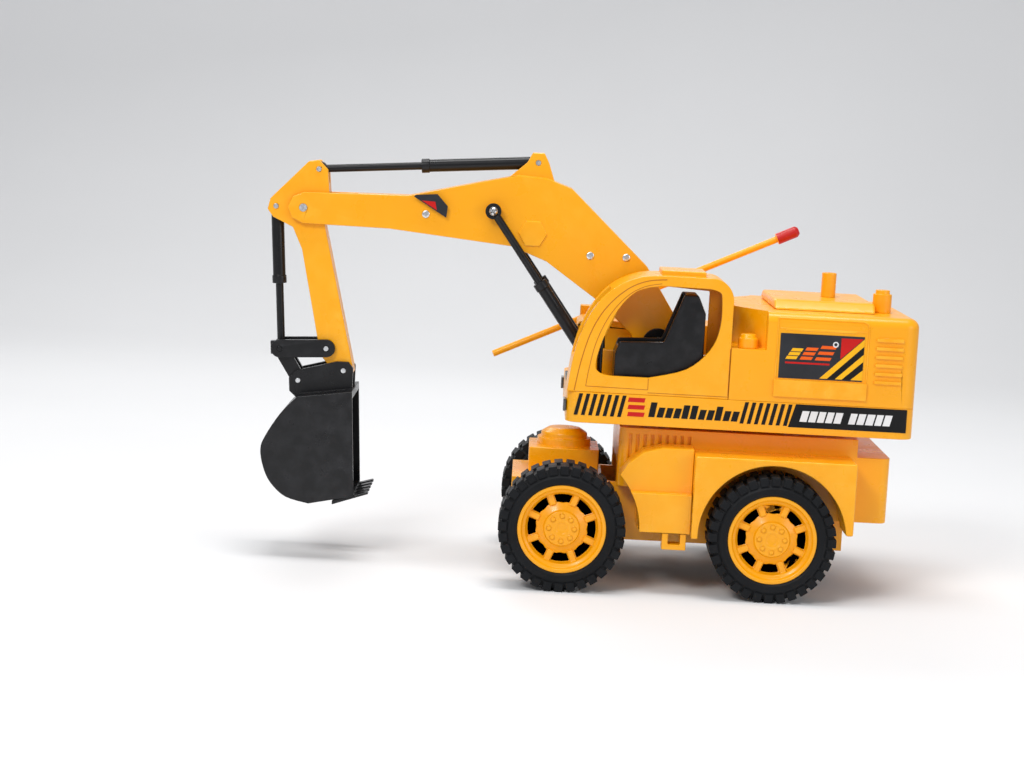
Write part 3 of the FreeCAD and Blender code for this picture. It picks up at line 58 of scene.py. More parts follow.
class Finish:
    """A procedural finish on one Principled shader, patterned in object space."""

    def __init__(self, name, metallic=0.0, coat=0.0, coat_roughness=0.1, specular=0.5, sheen=0.0):
        self.material = bpy.data.materials.new(name)
        self.material.use_nodes = True
        self.tree = self.material.node_tree
        self.shader = self.tree.nodes["Principled BSDF"]
        self.shader.inputs["Metallic"].default_value = metallic
        self.shader.inputs["Coat Weight"].default_value = coat
        self.shader.inputs["Coat Roughness"].default_value = coat_roughness
        self.shader.inputs["Specular IOR Level"].default_value = specular
        self.shader.inputs["Sheen Weight"].default_value = sheen
        self.space = self.tree.nodes.new("ShaderNodeTexCoord").outputs["Object"]

    def add(self, kind, **settings):
        node = self.tree.nodes.new("ShaderNode" + kind)
        for key, value in settings.items():
            setattr(node, key, value)
        return node

    def join(self, source, target):
        self.tree.links.new(source, target)

    def stretched(self, scale):
        mapping = self.add("Mapping")
        mapping.inputs["Scale"].default_value = scale
        self.join(self.space, mapping.inputs["Vector"])
        return mapping.outputs["Vector"]

    def noise(self, scale, detail=4.0, stretch=None, roughness=0.55):
        node = self.add("TexNoise")
        node.inputs["Scale"].default_value = scale
        node.inputs["Detail"].default_value = detail
        node.inputs["Roughness"].default_value = roughness
        self.join(self.stretched(stretch) if stretch else self.space, node.inputs["Vector"])
        return node.outputs["Fac"]

    def cells(self, scale):
        node = self.add("TexVoronoi")
        node.inputs["Scale"].default_value = scale
        self.join(self.space, node.inputs["Vector"])
        return node.outputs["Distance"]

    def span(self, value, low, high, to_low=0.0, to_high=1.0):
        node = self.add("MapRange")
        for key, number in (("From Min", low), ("From Max", high), ("To Min", to_low), ("To Max", to_high)):
            node.inputs[key].default_value = number
        self.join(value, node.inputs["Value"])
        return node.outputs["Result"]

    def blend(self, share, first, second):
        """Colour between two colours or colour outputs."""
        node = self.add("Mix", data_type="RGBA")
        self.join(share, node.inputs[0])
        for socket, colour in ((node.inputs[6], first), (node.inputs[7], second)):
            if isinstance(colour, tuple):
                socket.default_value = (*colour, 1)
            else:
                self.join(colour, socket)
        return node.outputs[2]

    def edges(self, low=0.52, high=0.6):
        """1 on worn convex edges, 0 on flat ground."""
        return self.span(self.add("NewGeometry").outputs["Pointiness"], low, high)

    def times(self, first, second):
        node = self.add("Math", operation="MULTIPLY")
        for socket, value in zip(node.inputs, (first, second)):
            if isinstance(value, (int, float)):
                socket.default_value = value
            else:
                self.join(value, socket)
        return node.outputs[0]

    def bump(self, *layers):
        """Stacks height layers, each (height, distance in metres)."""
        normal = None
        for height, distance in layers:
            node = self.add("Bump")
            node.inputs["Strength"].default_value = 1.0
            node.inputs["Distance"].default_value = distance
            self.join(height, node.inputs["Height"])
            if normal:
                self.join(normal, node.inputs["Normal"])
            normal = node.outputs["Normal"]
        self.join(normal, self.shader.inputs["Normal"])

    def colour(self, output):
        self.join(output, self.shader.inputs["Base Color"])

    def rough(self, output):
        self.join(output, self.shader.inputs["Roughness"])


def moulded_plastic(name, base, shade, edge, rough, coat=0.12, grain=0.00001, specular=0.4):
    """Glossy moulded plastic: slow colour drift, flow lines, soft orange peel, handled edges."""
    finish = Finish(name, coat=coat, coat_roughness=0.08, specular=specular)
    drift = finish.span(finish.noise(14, 3), 0.3, 0.75)
    flow = finish.span(finish.noise(45, 4, (1, 1, 0.15)), 0.35, 0.8)
    ground = finish.blend(finish.times(drift, 0.7), base, shade)
    ground = finish.blend(finish.times(flow, 0.25), ground, shade)
    worn = finish.times(finish.edges(), finish.span(finish.noise(140, 3), 0.4, 0.65))
    finish.colour(finish.blend(finish.times(worn, 0.4), ground, edge))
    finish.rough(finish.span(finish.noise(90, 6), 0.3, 0.75, rough, rough + 0.16))
    finish.bump((finish.noise(260, 2), 0.00004), (finish.noise(2600, 3), grain))
    return finish.material


def rubber(name, base, dust):
    """Tyre rubber: matt, faintly bloomed, with a fine cast grain and dust on the lugs."""
    finish = Finish(name, specular=0.2, sheen=0.02)
    bloom = finish.span(finish.noise(45, 6), 0.4, 0.72)
    speck = finish.span(finish.noise(900, 2), 0.52, 0.7)
    ground = finish.blend(finish.times(bloom, 0.5), base, dust)
    ground = finish.blend(finish.times(speck, 0.35), ground, dust)
    finish.colour(finish.blend(finish.times(finish.edges(0.51, 0.62), 0.35), ground, dust))
    finish.rough(finish.span(finish.noise(120, 5), 0.3, 0.7, 0.46, 0.68))
    finish.bump((finish.noise(1800, 4), 0.00005), (finish.noise(240, 2), 0.00008))
    return finish.material


def turned_metal(name, base, dark, rough):
    """Bright metal with turning marks and finger grease."""
    finish = Finish(name, metallic=1.0)
    marks = finish.noise(700, 3, (1, 6, 1))
    grease = finish.span(finish.noise(200, 4), 0.45, 0.7)
    finish.colour(finish.blend(finish.times(grease, 0.6), base, dark))
    finish.rough(finish.span(marks, 0.3, 0.7, rough, rough + 0.2))
    finish.bump((marks, 0.00002))
    return finish.material


def printed_board(name):
    """Green lacquer over faint copper tracks."""
    finish = Finish(name, coat=0.5)
    tracks = finish.span(finish.cells(260), 0.1, 0.16)
    finish.colour(finish.blend(tracks, (0.02, 0.16, 0.06), (0.008, 0.07, 0.03)))
    finish.rough(finish.span(finish.noise(300), 0.3, 0.7, 0.25, 0.45))
    finish.bump((tracks, 0.00004), (finish.noise(1500), 0.00001))
    return finish.material


def plain_paper(name, base, shade):
    """Thin printed film or wrap with a slight sheen."""
    finish = Finish(name, coat=0.06, coat_roughness=0.15, specular=0.2)
    drift = finish.span(finish.noise(70, 5), 0.3, 0.75)
    finish.colour(finish.blend(drift, base, shade))
    finish.rough(finish.span(finish.noise(180, 5), 0.3, 0.7, 0.28, 0.44))
    finish.bump((finish.noise(500, 3), 0.00001))
    return finish.material


def pale_ground():
    finish = Finish("studio_floor", specular=0.2)
    drift = finish.span(finish.noise(3, 3), 0.3, 0.7)
    finish.colour(finish.blend(drift, (0.80, 0.80, 0.80), (0.82, 0.82, 0.82)))
    finish.rough(finish.span(finish.noise(8), 0.3, 0.7, 0.75, 0.85))
    return finish.material


yellow = moulded_plastic("yellow_gloss", (0.96, 0.42, 0.002), (0.92, 0.36, 0.001), (1.0, 0.55, 0.05), 0.24)
black = moulded_plastic("black_gloss", (0.006, 0.006, 0.007), (0.009, 0.009, 0.01),
                        (0.05, 0.05, 0.055), 0.24, 0.12, specular=0.25)
soft_black = moulded_plastic("soft_black", (0.016, 0.016, 0.017), (0.028, 0.028, 0.03),
                             (0.07, 0.07, 0.07), 0.42, 0.0)
tyre_rubber = rubber("tyre_rubber", (0.003, 0.0035, 0.0045), (0.009, 0.0105, 0.013))
bright_steel = turned_metal("bright_steel", (0.78, 0.79, 0.8), (0.5, 0.51, 0.53), 0.18)
brass = turned_metal("brass", (0.8, 0.56, 0.2), (0.5, 0.32, 0.1), 0.25)
finishes = {
    "yellow_plastic": yellow,
    "black_plastic": black,
    "tyre": tyre_rubber,
    "steel": bright_steel,
    "brass": brass,
    "nylon": moulded_plastic("nylon", (0.78, 0.76, 0.7), (0.7, 0.68, 0.6), (0.85, 0.84, 0.8), 0.4, 0.0),
    "battery_wrap": plain_paper("battery_wrap", (0.03, 0.12, 0.4), (0.02, 0.08, 0.3)),
    "motor_can": turned_metal("motor_can", (0.6, 0.6, 0.62), (0.4, 0.4, 0.42), 0.3),
    "motor_case": moulded_plastic("motor_case", (0.7, 0.68, 0.62), (0.6, 0.58, 0.5),
                                  (0.8, 0.8, 0.75), 0.4, 0.0),
    "board": printed_board("board"),
    "lamp_lens": moulded_plastic("lamp_lens", (0.03, 0.03, 0.035), (0.05, 0.05, 0.055),
                                 (0.2, 0.2, 0.2), 0.08, 0.6),
    "soft_plastic": soft_black,
}
print_black = plain_paper("print_black", (0.004, 0.004, 0.0045), (0.008, 0.008, 0.009))
print_red = plain_paper("print_red", (0.62, 0.012, 0.01), (0.5, 0.01, 0.008))
print_white = plain_paper("print_white", (0.8, 0.8, 0.8), (0.7, 0.7, 0.71))
print_grey = plain_paper("print_grey", (0.02, 0.021, 0.025), (0.032, 0.034, 0.04))
print_orange = plain_paper("print_orange", (0.9, 0.13, 0.01), (0.8, 0.1, 0.01))
print_amber = plain_paper("print_amber", (0.95, 0.5, 0.01), (0.9, 0.44, 0.01))
# dark orange of the cab seam strips: painted shade, the shadow that falls inside the cab's grooves
seam_shadow = moulded_plastic("seam_shadow", (0.5, 0.15, 0.001), (0.42, 0.12, 0.001),
                              (0.6, 0.2, 0.01), 0.5, 0.0)
cap_red = moulded_plastic("cap_red", (0.55, 0.01, 0.008), (0.45, 0.008, 0.006), (0.7, 0.05, 0.04), 0.3)


# ---------------------------------------------------------------- making pieces


def new_object(name, mesh):
    piece = bpy.data.objects.new(name, mesh)
    bpy.context.scene.collection.objects.link(piece)
    return piece


def from_bmesh(name, shape):
    mesh = bpy.data.meshes.new(name)
    shape.to_mesh(mesh)
    shape.free()
    return new_object(name, mesh)


def settled(source, name):
    """Turns an object with its modifiers into a plain mesh object and drops the source."""
    graph = bpy.context.evaluated_depsgraph_get()
    made = source.evaluated_get(graph)
    mesh = bpy.data.meshes.new_from_object(made, preserve_all_data_layers=True, depsgraph=graph)
    old = source.data
    bpy.data.objects.remove(source)
    if old.users == 0:
        bpy.data.meshes.remove(old)
    mesh.name = name
    return new_object(name, mesh)


def paint(piece, material):
    piece.data.materials.clear()
    piece.data.materials.append(material)


def smooth(piece, angle=32):
    for face in piece.data.polygons:
        face.use_smooth = True
    piece.data.set_sharp_from_angle(angle=math.radians(angle))


def finish_piece(piece, body, material=None):
    if material:
        paint(piece, material)
    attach(piece, body)
    return piece


# nodes whose flat faces have many ribs, which stay as the triangles they came as
KEPT_FACES = {"engine_house", "chassis_frame"}


def merged(node, limit=1.0):
    """The node's surface as one connected shape with clean flat faces."""
    shape = bmesh.new()
    shape.from_mesh(frame["nodes"][node].data)
    bmesh.ops.remove_doubles(shape, verts=shape.verts, dist=0.000002)
    bmesh.ops.dissolve_degenerate(shape, edges=shape.edges, dist=0.000001)
    if node not in KEPT_FACES:
        bmesh.ops.dissolve_limit(
            shape, angle_limit=math.radians(limit), verts=shape.verts, edges=shape.edges)
    return shape


def rounded(node, width, segments=2, material=None, angle=30):
    """Refined copy of a CAD node whose edges are softened as a mould leaves them."""
    shape = merged(node)
    surface = BVHTree.FromBMesh(shape)
    piece = from_bmesh(node + "_refined", shape)
    bevel = piece.modifiers.new("soft_edges", "BEVEL")
    bevel.width = width * MM
    bevel.segments = segments
    bevel.limit_method = "ANGLE"
    bevel.angle_limit = math.radians(angle)
    bevel.use_clamp_overlap = False
    bevel.miter_outer = "MITER_ARC"
    piece = settled(piece, node + "_refined")
    for vertex in piece.data.vertices:
        spot, _, _, gap = surface.find_nearest(vertex.co)
        if spot and gap > width * MM * 0.8:
            vertex.co = spot
    piece.data.update()
    smooth(piece)
    even = piece.modifiers.new("even_shading", "WEIGHTED_NORMAL")
    even.keep_sharp = True
    piece = settled(piece, node + "_refined")
    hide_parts(node)
    return finish_piece(piece, body_of[node], material or finishes[slot_of[node]])


# edge softening of each visible node, in millimetres
SOFTENED = {
    "chassis_frame": 0.25, "front_tower": 0.6, "rear_fenders": 0.9, "side_boxes": 0.4,
    "turntable_ring": 0.3,
    "house_tub": 0.5, "cab_shell": 0.55, "right_deck": 0.6, "engine_house": 0.25, "engine_hood": 1.5,
    "roof_stacks": 0.4, "boom_mount": 0.3, "head_lamps": 0.2, "seat": 0.8, "control_levers": 0.3,
    "boom_left_half": 0.5, "boom_right_half": 0.5, "stick_left_half": 0.4, "stick_right_half": 0.4,
    "boom_ram_barrel": 0.3, "stick_ram_barrel": 0.3, "bucket_ram_barrel": 0.3, "boom_ram_rod": 0.25,
    "stick_ram_rod": 0.25, "bucket_ram_rod": 0.25, "bucket": 0.35, "bucket_rocker": 0.3, "bucket_link": 0.3,
    "front_left_tyre": 0.35, "front_right_tyre": 0.35, "rear_tyres": 0.35, "front_left_rim": 0.45,
    "front_right_rim": 0.45, "rear_rims": 0.45, "front_axle_beam": 0.3,
    "left_knuckle": 0.2, "right_knuckle": 0.2,
    "antenna_tube": 0.25, "boom_pivot": 0.2, "stick_pins": 0.2, "bucket_pins": 0.2, "belly_cover": 0.3,
}


def islands(node):
    """Boxes (low corner, high corner) of the separate solids of a node."""
    shape = bmesh.new()
    shape.from_mesh(frame["nodes"][node].data)
    bmesh.ops.remove_doubles(shape, verts=shape.verts, dist=0.000002)
    left = set(shape.verts)
    boxes = []
    while left:
        heap = [left.pop()]
        found = []
        while heap:
            vertex = heap.pop()
            found.append(vertex.co.copy())
            for edge in vertex.link_edges:
                other = edge.other_vert(vertex)
                if other in left:
                    left.remove(other)
                    heap.append(other)
        low = Vector([min(v[i] for v in found) for i in range(3)])
        high = Vector([max(v[i] for v in found) for i in range(3)])
        boxes.append((low, high))
    shape.free()
    return sorted(boxes, key=lambda box: [round(value, 5) for value in box[0]])


# ---------------------------------------------------------------- rows and scatter made by nodes


def socket(tree, name, kind, way="INPUT"):
    return tree.interface.new_socket(name, in_out=way, socket_type="NodeSocket" + kind)


def link(tree, source, target):
    tree.links.new(source, target)


def row_tree(name, sample, material):
    """Tree that repeats a sample at an even step along a line. Inputs: Count, Step, Start."""
    tree = bpy.data.node_groups.new(name, "GeometryNodeTree")
    socket(tree, "Geometry", "Geometry", "OUTPUT")
    kinds = (("Count", "Int"), ("Step", "Vector"), ("Start", "Vector"))
    sockets = [socket(tree, label, kind) for label, kind in kinds]
    given = tree.nodes.new("NodeGroupInput")
    line = tree.nodes.new("GeometryNodeMeshLine")
    model = tree.nodes.new("GeometryNodeObjectInfo")
    model.inputs["Object"].default_value = sample
    copies = tree.nodes.new("GeometryNodeInstanceOnPoints")
    solid = tree.nodes.new("GeometryNodeRealizeInstances")
    painted = tree.nodes.new("GeometryNodeSetMaterial")
    painted.inputs["Material"].default_value = material
    out = tree.nodes.new("NodeGroupOutput")
    link(tree, given.outputs["Count"], line.inputs["Count"])
    link(tree, given.outputs["Step"], line.inputs["Offset"])
    link(tree, given.outputs["Start"], line.inputs["Start Location"])
    link(tree, line.outputs["Mesh"], copies.inputs["Points"])
    link(tree, model.outputs["Geometry"], copies.inputs["Instance"])
    link(tree, copies.outputs["Instances"], solid.inputs["Geometry"])
    link(tree, solid.outputs["Geometry"], painted.inputs["Geometry"])
    link(tree, painted.outputs["Geometry"], out.inputs["Geometry"])
    return tree, [item.identifier for item in sockets]


def row_of(name, sample, material, count, step, start):
    tree, names = row_tree(name + "_tree", sample, material)
    host = new_object(name + "_host", bpy.data.meshes.new(name + "_host"))
    modifier = host.modifiers.new("row", "NODES")
    modifier.node_group = tree
    for identifier, value in zip(names, (count, step, start)):
        modifier[identifier] = value
    piece = settled(host, name)
    bpy.data.objects.remove(sample)
    return piece


def heads_tree(name, sample, material):
    """Tree that sets a sample on every point, sized and aimed by the point's attributes."""
    tree = bpy.data.node_groups.new(name, "GeometryNodeTree")
    socket(tree, "Geometry", "Geometry", "OUTPUT")
    socket(tree, "Geometry", "Geometry", "INPUT")
    turn = socket(tree, "Turn step", "Float")
    seed = socket(tree, "Seed", "Int")
    given = tree.nodes.new("NodeGroupInput")
    model = tree.nodes.new("GeometryNodeObjectInfo")
    model.inputs["Object"].default_value = sample
    aim = tree.nodes.new("GeometryNodeInputNamedAttribute")
    aim.data_type = "FLOAT_VECTOR"
    aim.inputs["Name"].default_value = "aim"
    size = tree.nodes.new("GeometryNodeInputNamedAttribute")
    size.data_type = "FLOAT_VECTOR"
    size.inputs["Name"].default_value = "size"
    face = tree.nodes.new("FunctionNodeAlignRotationToVector")
    face.axis = "Z"
    link(tree, aim.outputs["Attribute"], face.inputs["Vector"])
    spin = tree.nodes.new("FunctionNodeRandomValue")
    spin.data_type = "FLOAT"
    link(tree, given.outputs["Turn step"], spin.inputs[3])
    link(tree, given.outputs["Seed"], spin.inputs["Seed"])
    twist = tree.nodes.new("FunctionNodeAxisAngleToRotation")
    link(tree, spin.outputs[1], twist.inputs["Angle"])
    both = tree.nodes.new("FunctionNodeRotateRotation")
    both.rotation_space = "LOCAL"
    link(tree, face.outputs["Rotation"], both.inputs["Rotation"])
    link(tree, twist.outputs["Rotation"], both.inputs["Rotate By"])
    copies = tree.nodes.new("GeometryNodeInstanceOnPoints")
    link(tree, given.outputs["Geometry"], copies.inputs["Points"])
    link(tree, model.outputs["Geometry"], copies.inputs["Instance"])
    link(tree, both.outputs["Rotation"], copies.inputs["Rotation"])
    link(tree, size.outputs["Attribute"], copies.inputs["Scale"])
    solid = tree.nodes.new("GeometryNodeRealizeInstances")
    painted = tree.nodes.new("GeometryNodeSetMaterial")
    painted.inputs["Material"].default_value = material
    out = tree.nodes.new("NodeGroupOutput")
    link(tree, copies.outputs["Instances"], solid.inputs["Geometry"])
    link(tree, solid.outputs["Geometry"], painted.inputs["Geometry"])
    link(tree, painted.outputs["Geometry"], out.inputs["Geometry"])
    return tree, turn.identifier, seed.identifier


def screw_sample():
    """Pan head of unit radius and unit height with a cross recess."""
    shape = bmesh.new()
    rings = [(1.0, 0.0), (1.0, 0.45), (0.94, 0.7), (0.78, 0.88), (0.5, 0.97), (0.25, 1.0)]
    count = 28
    loops = []
    for radius, height in rings:
        turn = 2 * math.pi / count
        loops.append([shape.verts.new((radius * math.cos(turn * i), radius * math.sin(turn * i), height))
                      for i in range(count)])
    for low, high in zip(loops, loops[1:]):
        for i in range(count):
            shape.faces.new((low[i], low[(i + 1) % count], high[(i + 1) % count], high[i]))
    shape.faces.new(reversed(loops[0]))
    shape.faces.new(loops[-1])
    head = from_bmesh("screw_sample", shape)
    for angle in (0, 90):
        cutter = bmesh.new()
        spun = Matrix.Rotation(math.radians(angle), 4, "Z") @ Matrix.Translation((0, 0, 1.0))
        matrix = spun @ Matrix.Diagonal((1.15, 0.26, 1.1, 1))
        bmesh.ops.create_cube(cutter, size=1, matrix=matrix)
        tool = from_bmesh("slot_cutter", cutter)
        cut = head.modifiers.new("slot", "BOOLEAN")
        cut.object = tool
        cut.solver = "EXACT"
        head = settled(head, "screw_sample")
        bpy.data.objects.remove(tool)
    smooth(head, 40)
    return head


def screw_heads(name, body, spots, material=None, replaced=()):
    """Cross-recess heads at (centre of the seat, direction out, radius, height)."""
    cloud = bpy.data.meshes.new(name + "_points")
    cloud.from_pydata([spot[0] for spot in spots], [], [])
    aim = cloud.attributes.new("aim", "FLOAT_VECTOR", "POINT")
    size = cloud.attributes.new("size", "FLOAT_VECTOR", "POINT")
    for index, (_, out, radius, height) in enumerate(spots):
        aim.data[index].vector = out
        size.data[index].vector = (radius, radius, height)
    host = new_object(name + "_host", cloud)
    sample = screw_sample()
    tree, turn, seed = heads_tree(name + "_tree", sample, material or bright_steel)
    modifier = host.modifiers.new("heads", "NODES")
    modifier.node_group = tree
    modifier[turn] = 1.5
    modifier[seed] = 7
    piece = settled(host, name)
    bpy.data.objects.remove(sample)
    smooth(piece, 40)
    for node in replaced:
        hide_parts(node)
    return finish_piece(piece, body)


# ---------------------------------------------------------------- thin printed pieces


def slab(name, outline, y, thick, side=1, soften=0.0):
    """Thin plate over an outline of (x, z) points, facing the given side."""
    shape = bmesh.new()
    back = [shape.verts.new((x, y, z)) for x, z in outline]
    front = [shape.verts.new((x, y + thick * side, z)) for x, z in outline]
    shape.faces.new(back)
    shape.faces.new(front)
    for i in range(len(outline)):
        shape.faces.new((back[i - 1], back[i], front[i], front[i - 1]))
    bmesh.ops.recalc_face_normals(shape, faces=shape.faces)
    piece = from_bmesh(name, shape)
    if soften:
        bevel = piece.modifiers.new("soft_rim", "BEVEL")
        bevel.width = soften
        bevel.segments = 2
        piece = settled(piece, name)
    smooth(piece)
    return piece


def together(name, pieces):
    """Joins plain mesh objects into one, keeping their materials."""
    shape = bmesh.new()
    materials = []
    for piece in pieces:
        part = piece.data
        for material in part.materials:
            if material not in materials:
                materials.append(material)
        offset = len(shape.faces)
        shape.from_mesh(part)
        shape.faces.ensure_lookup_table()
        for face in shape.faces[offset:]:
            face.material_index = materials.index(part.materials[face.material_index])
    joined = from_bmesh(name, shape)
    for material in materials:
        joined.data.materials.append(material)
    for piece in pieces:
        bpy.data.objects.remove(piece)
    smooth(joined)
    return joined


def printed(name, outline, y, thick, side, material):
    """Flat shape of one colour on an upright face."""
    piece = slab(name, outline, y, thick, side)
    paint(piece, material)
    return piece


# thickness of a printed film, and the two sides of the machine
FILM = 0.12 * MM
SIDE_NAME = {1: "left", -1: "right"}

# heights and widths of the plain bars on the skirt, in millimetres
BAR_HEIGHTS = (7.4, 5, 5, 5, 6.8, 6.8, 5, 5, 7.0, 5, 5)
MARK_WIDTHS = (4.3, 4.3, 4.1, 4.1, 4.3, 0, 4.1, 4.3, 4.6, 4.1, 4.3)
STRIPE_COUNT = 7
STRIPE_PITCH = 3.6 * MM
BAR_PITCH = 4.1 * MM


def leaning(x, z, wide, tall, lean):
    """Outline of a bar that leans rearward towards its top."""
    return [(x, z), (x - wide, z), (x - wide - lean, z + tall), (x - lean, z + tall)]


def skirt_stripes(label, y, side, start, tall):
    """Row of slanted black stripes that starts at one place."""
    shape = leaning(0, 0, 1.85 * MM, tall, 2.3 * MM)
    sample = printed("stripe_sample", shape, y, FILM, side, print_black)
    return row_of("stripes_" + label, sample, print_black, STRIPE_COUNT, (-STRIPE_PITCH, 0, 0), start)


def panel_marks(x, foot, y, side):
    """Two groups of plain pale marks on the dark panel."""
    marks = []
    for wide in MARK_WIDTHS:
        if wide:
            shape = leaning(x, foot, (wide - 0.8) * MM, 5.4 * MM, 1.3 * MM)
            marks.append(printed("mark", shape, y, FILM * 0.4, side, print_white))
        x -= (wide or 3) * MM
    return marks


def band_print(side):
    """Slanted stripes, plain bars and a dark panel along one side of the house skirt."""
    house_low, house_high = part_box("house_tub")
    cab_low, cab_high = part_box("cab_shell")
    y = house_high.y if side > 0 else house_low.y
    front, rear = cab_high.x, house_low.x
    base = cab_low.z - 11.6 * MM
    tall = 10.8 * MM
    parts = [skirt_stripes(label, y, side, (front - start * MM, 0, base), tall)
             for label, start in (("front", 4.0), ("middle", 86.4))]
    for step in range(3):
        foot = base + 0.6 * MM + step * STRIPE_PITCH
        shape = leaning(front - 30.5 * MM, foot, 8.2 * MM, 2.2 * MM, 0.5 * MM)
        parts.append(printed("red_bar", shape, y, FILM, side, print_red))
    x = front - 41 * MM
    for height in BAR_HEIGHTS:
        shape = leaning(x, base + 0.8 * MM, 3.1 * MM, height * MM, 1.2 * MM)
        parts.append(printed("bar", shape, y, FILM, side, print_black))
        x -= BAR_PITCH
    under, over = base - 0.5 * MM, base + tall + 0.3 * MM
    panel = [(front - 110.5 * MM, under), (rear + 4 * MM, under),
             (rear + 4 * MM, over), (front - 113.8 * MM, over)]
    parts.append(printed("dark_panel", panel, y, FILM, side, print_black))
    parts += panel_marks(front - 116 * MM, base + 2.5 * MM, y + FILM * side, side)
    finish_piece(together("skirt_print_" + SIDE_NAME[side], parts), "house")


# shapes on the engine plate, as shares of its width and height
PLATE_FLASHES = (
    (((0.724, 0.95), (0.99, 0.95), (0.724, 0.48)), print_red),
    (((1, 0.95), (1, 0.79), (0.58, 0.03), (0.49, 0.03)), print_amber),
    (((1, 0.79), (1, 0.61), (0.675, 0.03), (0.58, 0.03)), print_black),
    (((1, 0.61), (1, 0.45), (0.756, 0.03), (0.675, 0.03)), print_amber),
    (((1, 0.45), (1, 0.26), (0.86, 0.03), (0.756, 0.03)), print_black),
    (((1, 0.26), (1, 0.03), (0.86, 0.03)), print_amber),
)
PLATE_BARS = (
    (0.07, 0.13, 0.43, 0.66, print_amber),
    (0.24, 0.14, 0.43, 0.7, print_orange),
    (0.42, 0.18, 0.43, 0.77, print_orange),
)


def engine_plate(side):
    """Dark plate on the engine side: red corner, slanted stripes and stacks of plain bars."""
    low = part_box("engine_house")[0]
    house_low, house_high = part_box("house_tub")
    y = house_high.y if side > 0 else house_low.y
    x0, z0 = house_low.x + 69 * MM, low.z + 12.3 * MM
    wide, tall = 41.5 * MM, 22.3 * MM

    def at(u, v):
        return (x0 - u * wide, z0 + v * tall)

    parts = [printed("plate", [at(0, 0), at(1, 0), at(1, 1), at(0, 1)], y, FILM * 2, side, print_grey)]
    top = y + FILM * 2 * side
    for shape, material in PLATE_FLASHES:
        parts.append(printed("flash", [at(*p) for p in shape], top, FILM * 0.5, side, material))
    for start, reach, foot, head, material in PLATE_BARS:
        for step in range(3):
            v = foot + (head - foot) * step / 2.6
            u = start + 0.03 * step
            bar = [at(u, v), at(u + reach, v), at(u + reach + 0.02, v + 0.07), at(u + 0.02, v + 0.07)]
            parts.append(printed("plate_bar", bar, top, FILM * 0.5, side, material))
    under = [at(0.07, 0.33), at(0.6, 0.33), at(0.6, 0.37), at(0.07, 0.37)]
    parts.append(printed("under_bar", under, top, FILM * 0.5, side, print_red))
    ring = ring_slab("plate_ring", at(0.66, 0.8), 0.85 * MM, 1.45 * MM, top, FILM, side)
    paint(ring, print_white)
    parts.append(ring)
    finish_piece(together("engine_plate_" + SIDE_NAME[side], parts), "house")


def ring_slab(name, centre, inner, outer, y, thick, side, count=28):
    """Flat ring on an upright face."""
    shape = bmesh.new()
    loops = []
    for radius, height in ((inner, 0), (inner, thick), (outer, thick), (outer, 0)):
        turn = 2 * math.pi / count
        level = y + height * side
        loops.append([shape.verts.new((centre[0] + radius * math.cos(turn * i), level,
                                       centre[1] + radius * math.sin(turn * i)))
                      for i in range(count)])
    for first, second in zip(loops, loops[1:] + loops[:1]):
        for i in range(count):
            shape.faces.new((first[i], first[(i + 1) % count], second[(i + 1) % count], second[i]))
    bmesh.ops.recalc_face_normals(shape, faces=shape.faces)
    return from_bmesh(name, shape)


def eased_path(points, steps=6):
    """Smooth path through (x, z) points."""
    path = []
    for i in range(len(points) - 1):
        p0, p1 = points[max(i - 1, 0)], points[i]
        p2, p3 = points[i + 1], points[min(i + 2, len(points) - 1)]
        for step in range(steps):
            u = step / steps
            w = (-u * (1 - u) ** 2 / 2, (2 - 5 * u * u + 3 * u ** 3) / 2,
                 (u + 4 * u * u - 3 * u ** 3) / 2, -u * u * (1 - u) / 2)
            path.append(tuple(sum(k * p[a] for k, p in zip(w, (p0, p1, p2, p3))) for a in (0, 1)))
    path.append(points[-1])
    return path


def bead(name, path, width, y, height, side, material):
    """Low rounded strip along a path on an upright face: a seam line painted dark as groove shade, or a
    moulded rib.
    """
    shape = bmesh.new()
    rings = []
    for i, (x, z) in enumerate(path):
        ahead = path[min(i + 1, len(path) - 1)]
        behind = path[max(i - 1, 0)]
        run = Vector((ahead[0] - behind[0], ahead[1] - behind[1])).normalized()
        across = Vector((-run.y, run.x)) * width / 2
        ring = []
        for share, rise in ((-1, -0.3), (-0.8, 0.6), (-0.35, 0.95), (0.35, 0.95), (0.8, 0.6), (1, -0.3)):
            spot = (x + across.x * share, y + rise * height * side, z + across.y * share)
            ring.append(shape.verts.new(spot))
        rings.append(ring)
    for first, second in zip(rings, rings[1:]):
        for i in range(6):
            shape.faces.new((first[i], first[(i + 1) % 6], second[(i + 1) % 6], second[i]))
    shape.faces.new(rings[0])
    shape.faces.new(list(reversed(rings[-1])))
    bmesh.ops.recalc_face_normals(shape, faces=shape.faces)
    piece = from_bmesh(name, shape)
    paint(piece, material)
    return piece


def cab_seams():
    """Door lines of the cab and the groove that follows its front arch, as low dark-orange strips: painted
    shade that stands in for the shadow inside the grooves.
    """
    low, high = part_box("cab_shell")
    y = high.y
    long, tall = high.x - low.x, 59.5 * MM

    def at(a, b):
        return (low.x + long * a, low.z + tall * b)

    arch = eased_path([at(0.955, 0.01), at(0.92, 0.27), at(0.865, 0.52), at(0.78, 0.72),
                       at(0.66, 0.875), at(0.54, 0.95), at(0.42, 0.97)])
    door = eased_path([at(0.885, 0.05), at(0.87, 0.2), at(0.835, 0.42), at(0.765, 0.64),
                       at(0.665, 0.81), at(0.56, 0.9), at(0.45, 0.935)])
    lines = [
        (arch, 0.55), (door, 0.4),
        ([at(0.885, 0.05), at(0.5, 0.045)], 0.4), ([at(0.5, 0.045), at(0.5, 0.14)], 0.4),
        ([at(0.5, 0.02), at(0.0, 0.02)], 0.4), ([at(0.004, 0.03), at(0.004, 0.42)], 0.4),
    ]
    # the seam strips carry the painted groove shade in dark orange
    parts = [bead("seam", path, width * MM, y, 0.1 * MM, 1, seam_shadow) for path, width in lines]
    finish_piece(together("cab_seams", parts), "house")


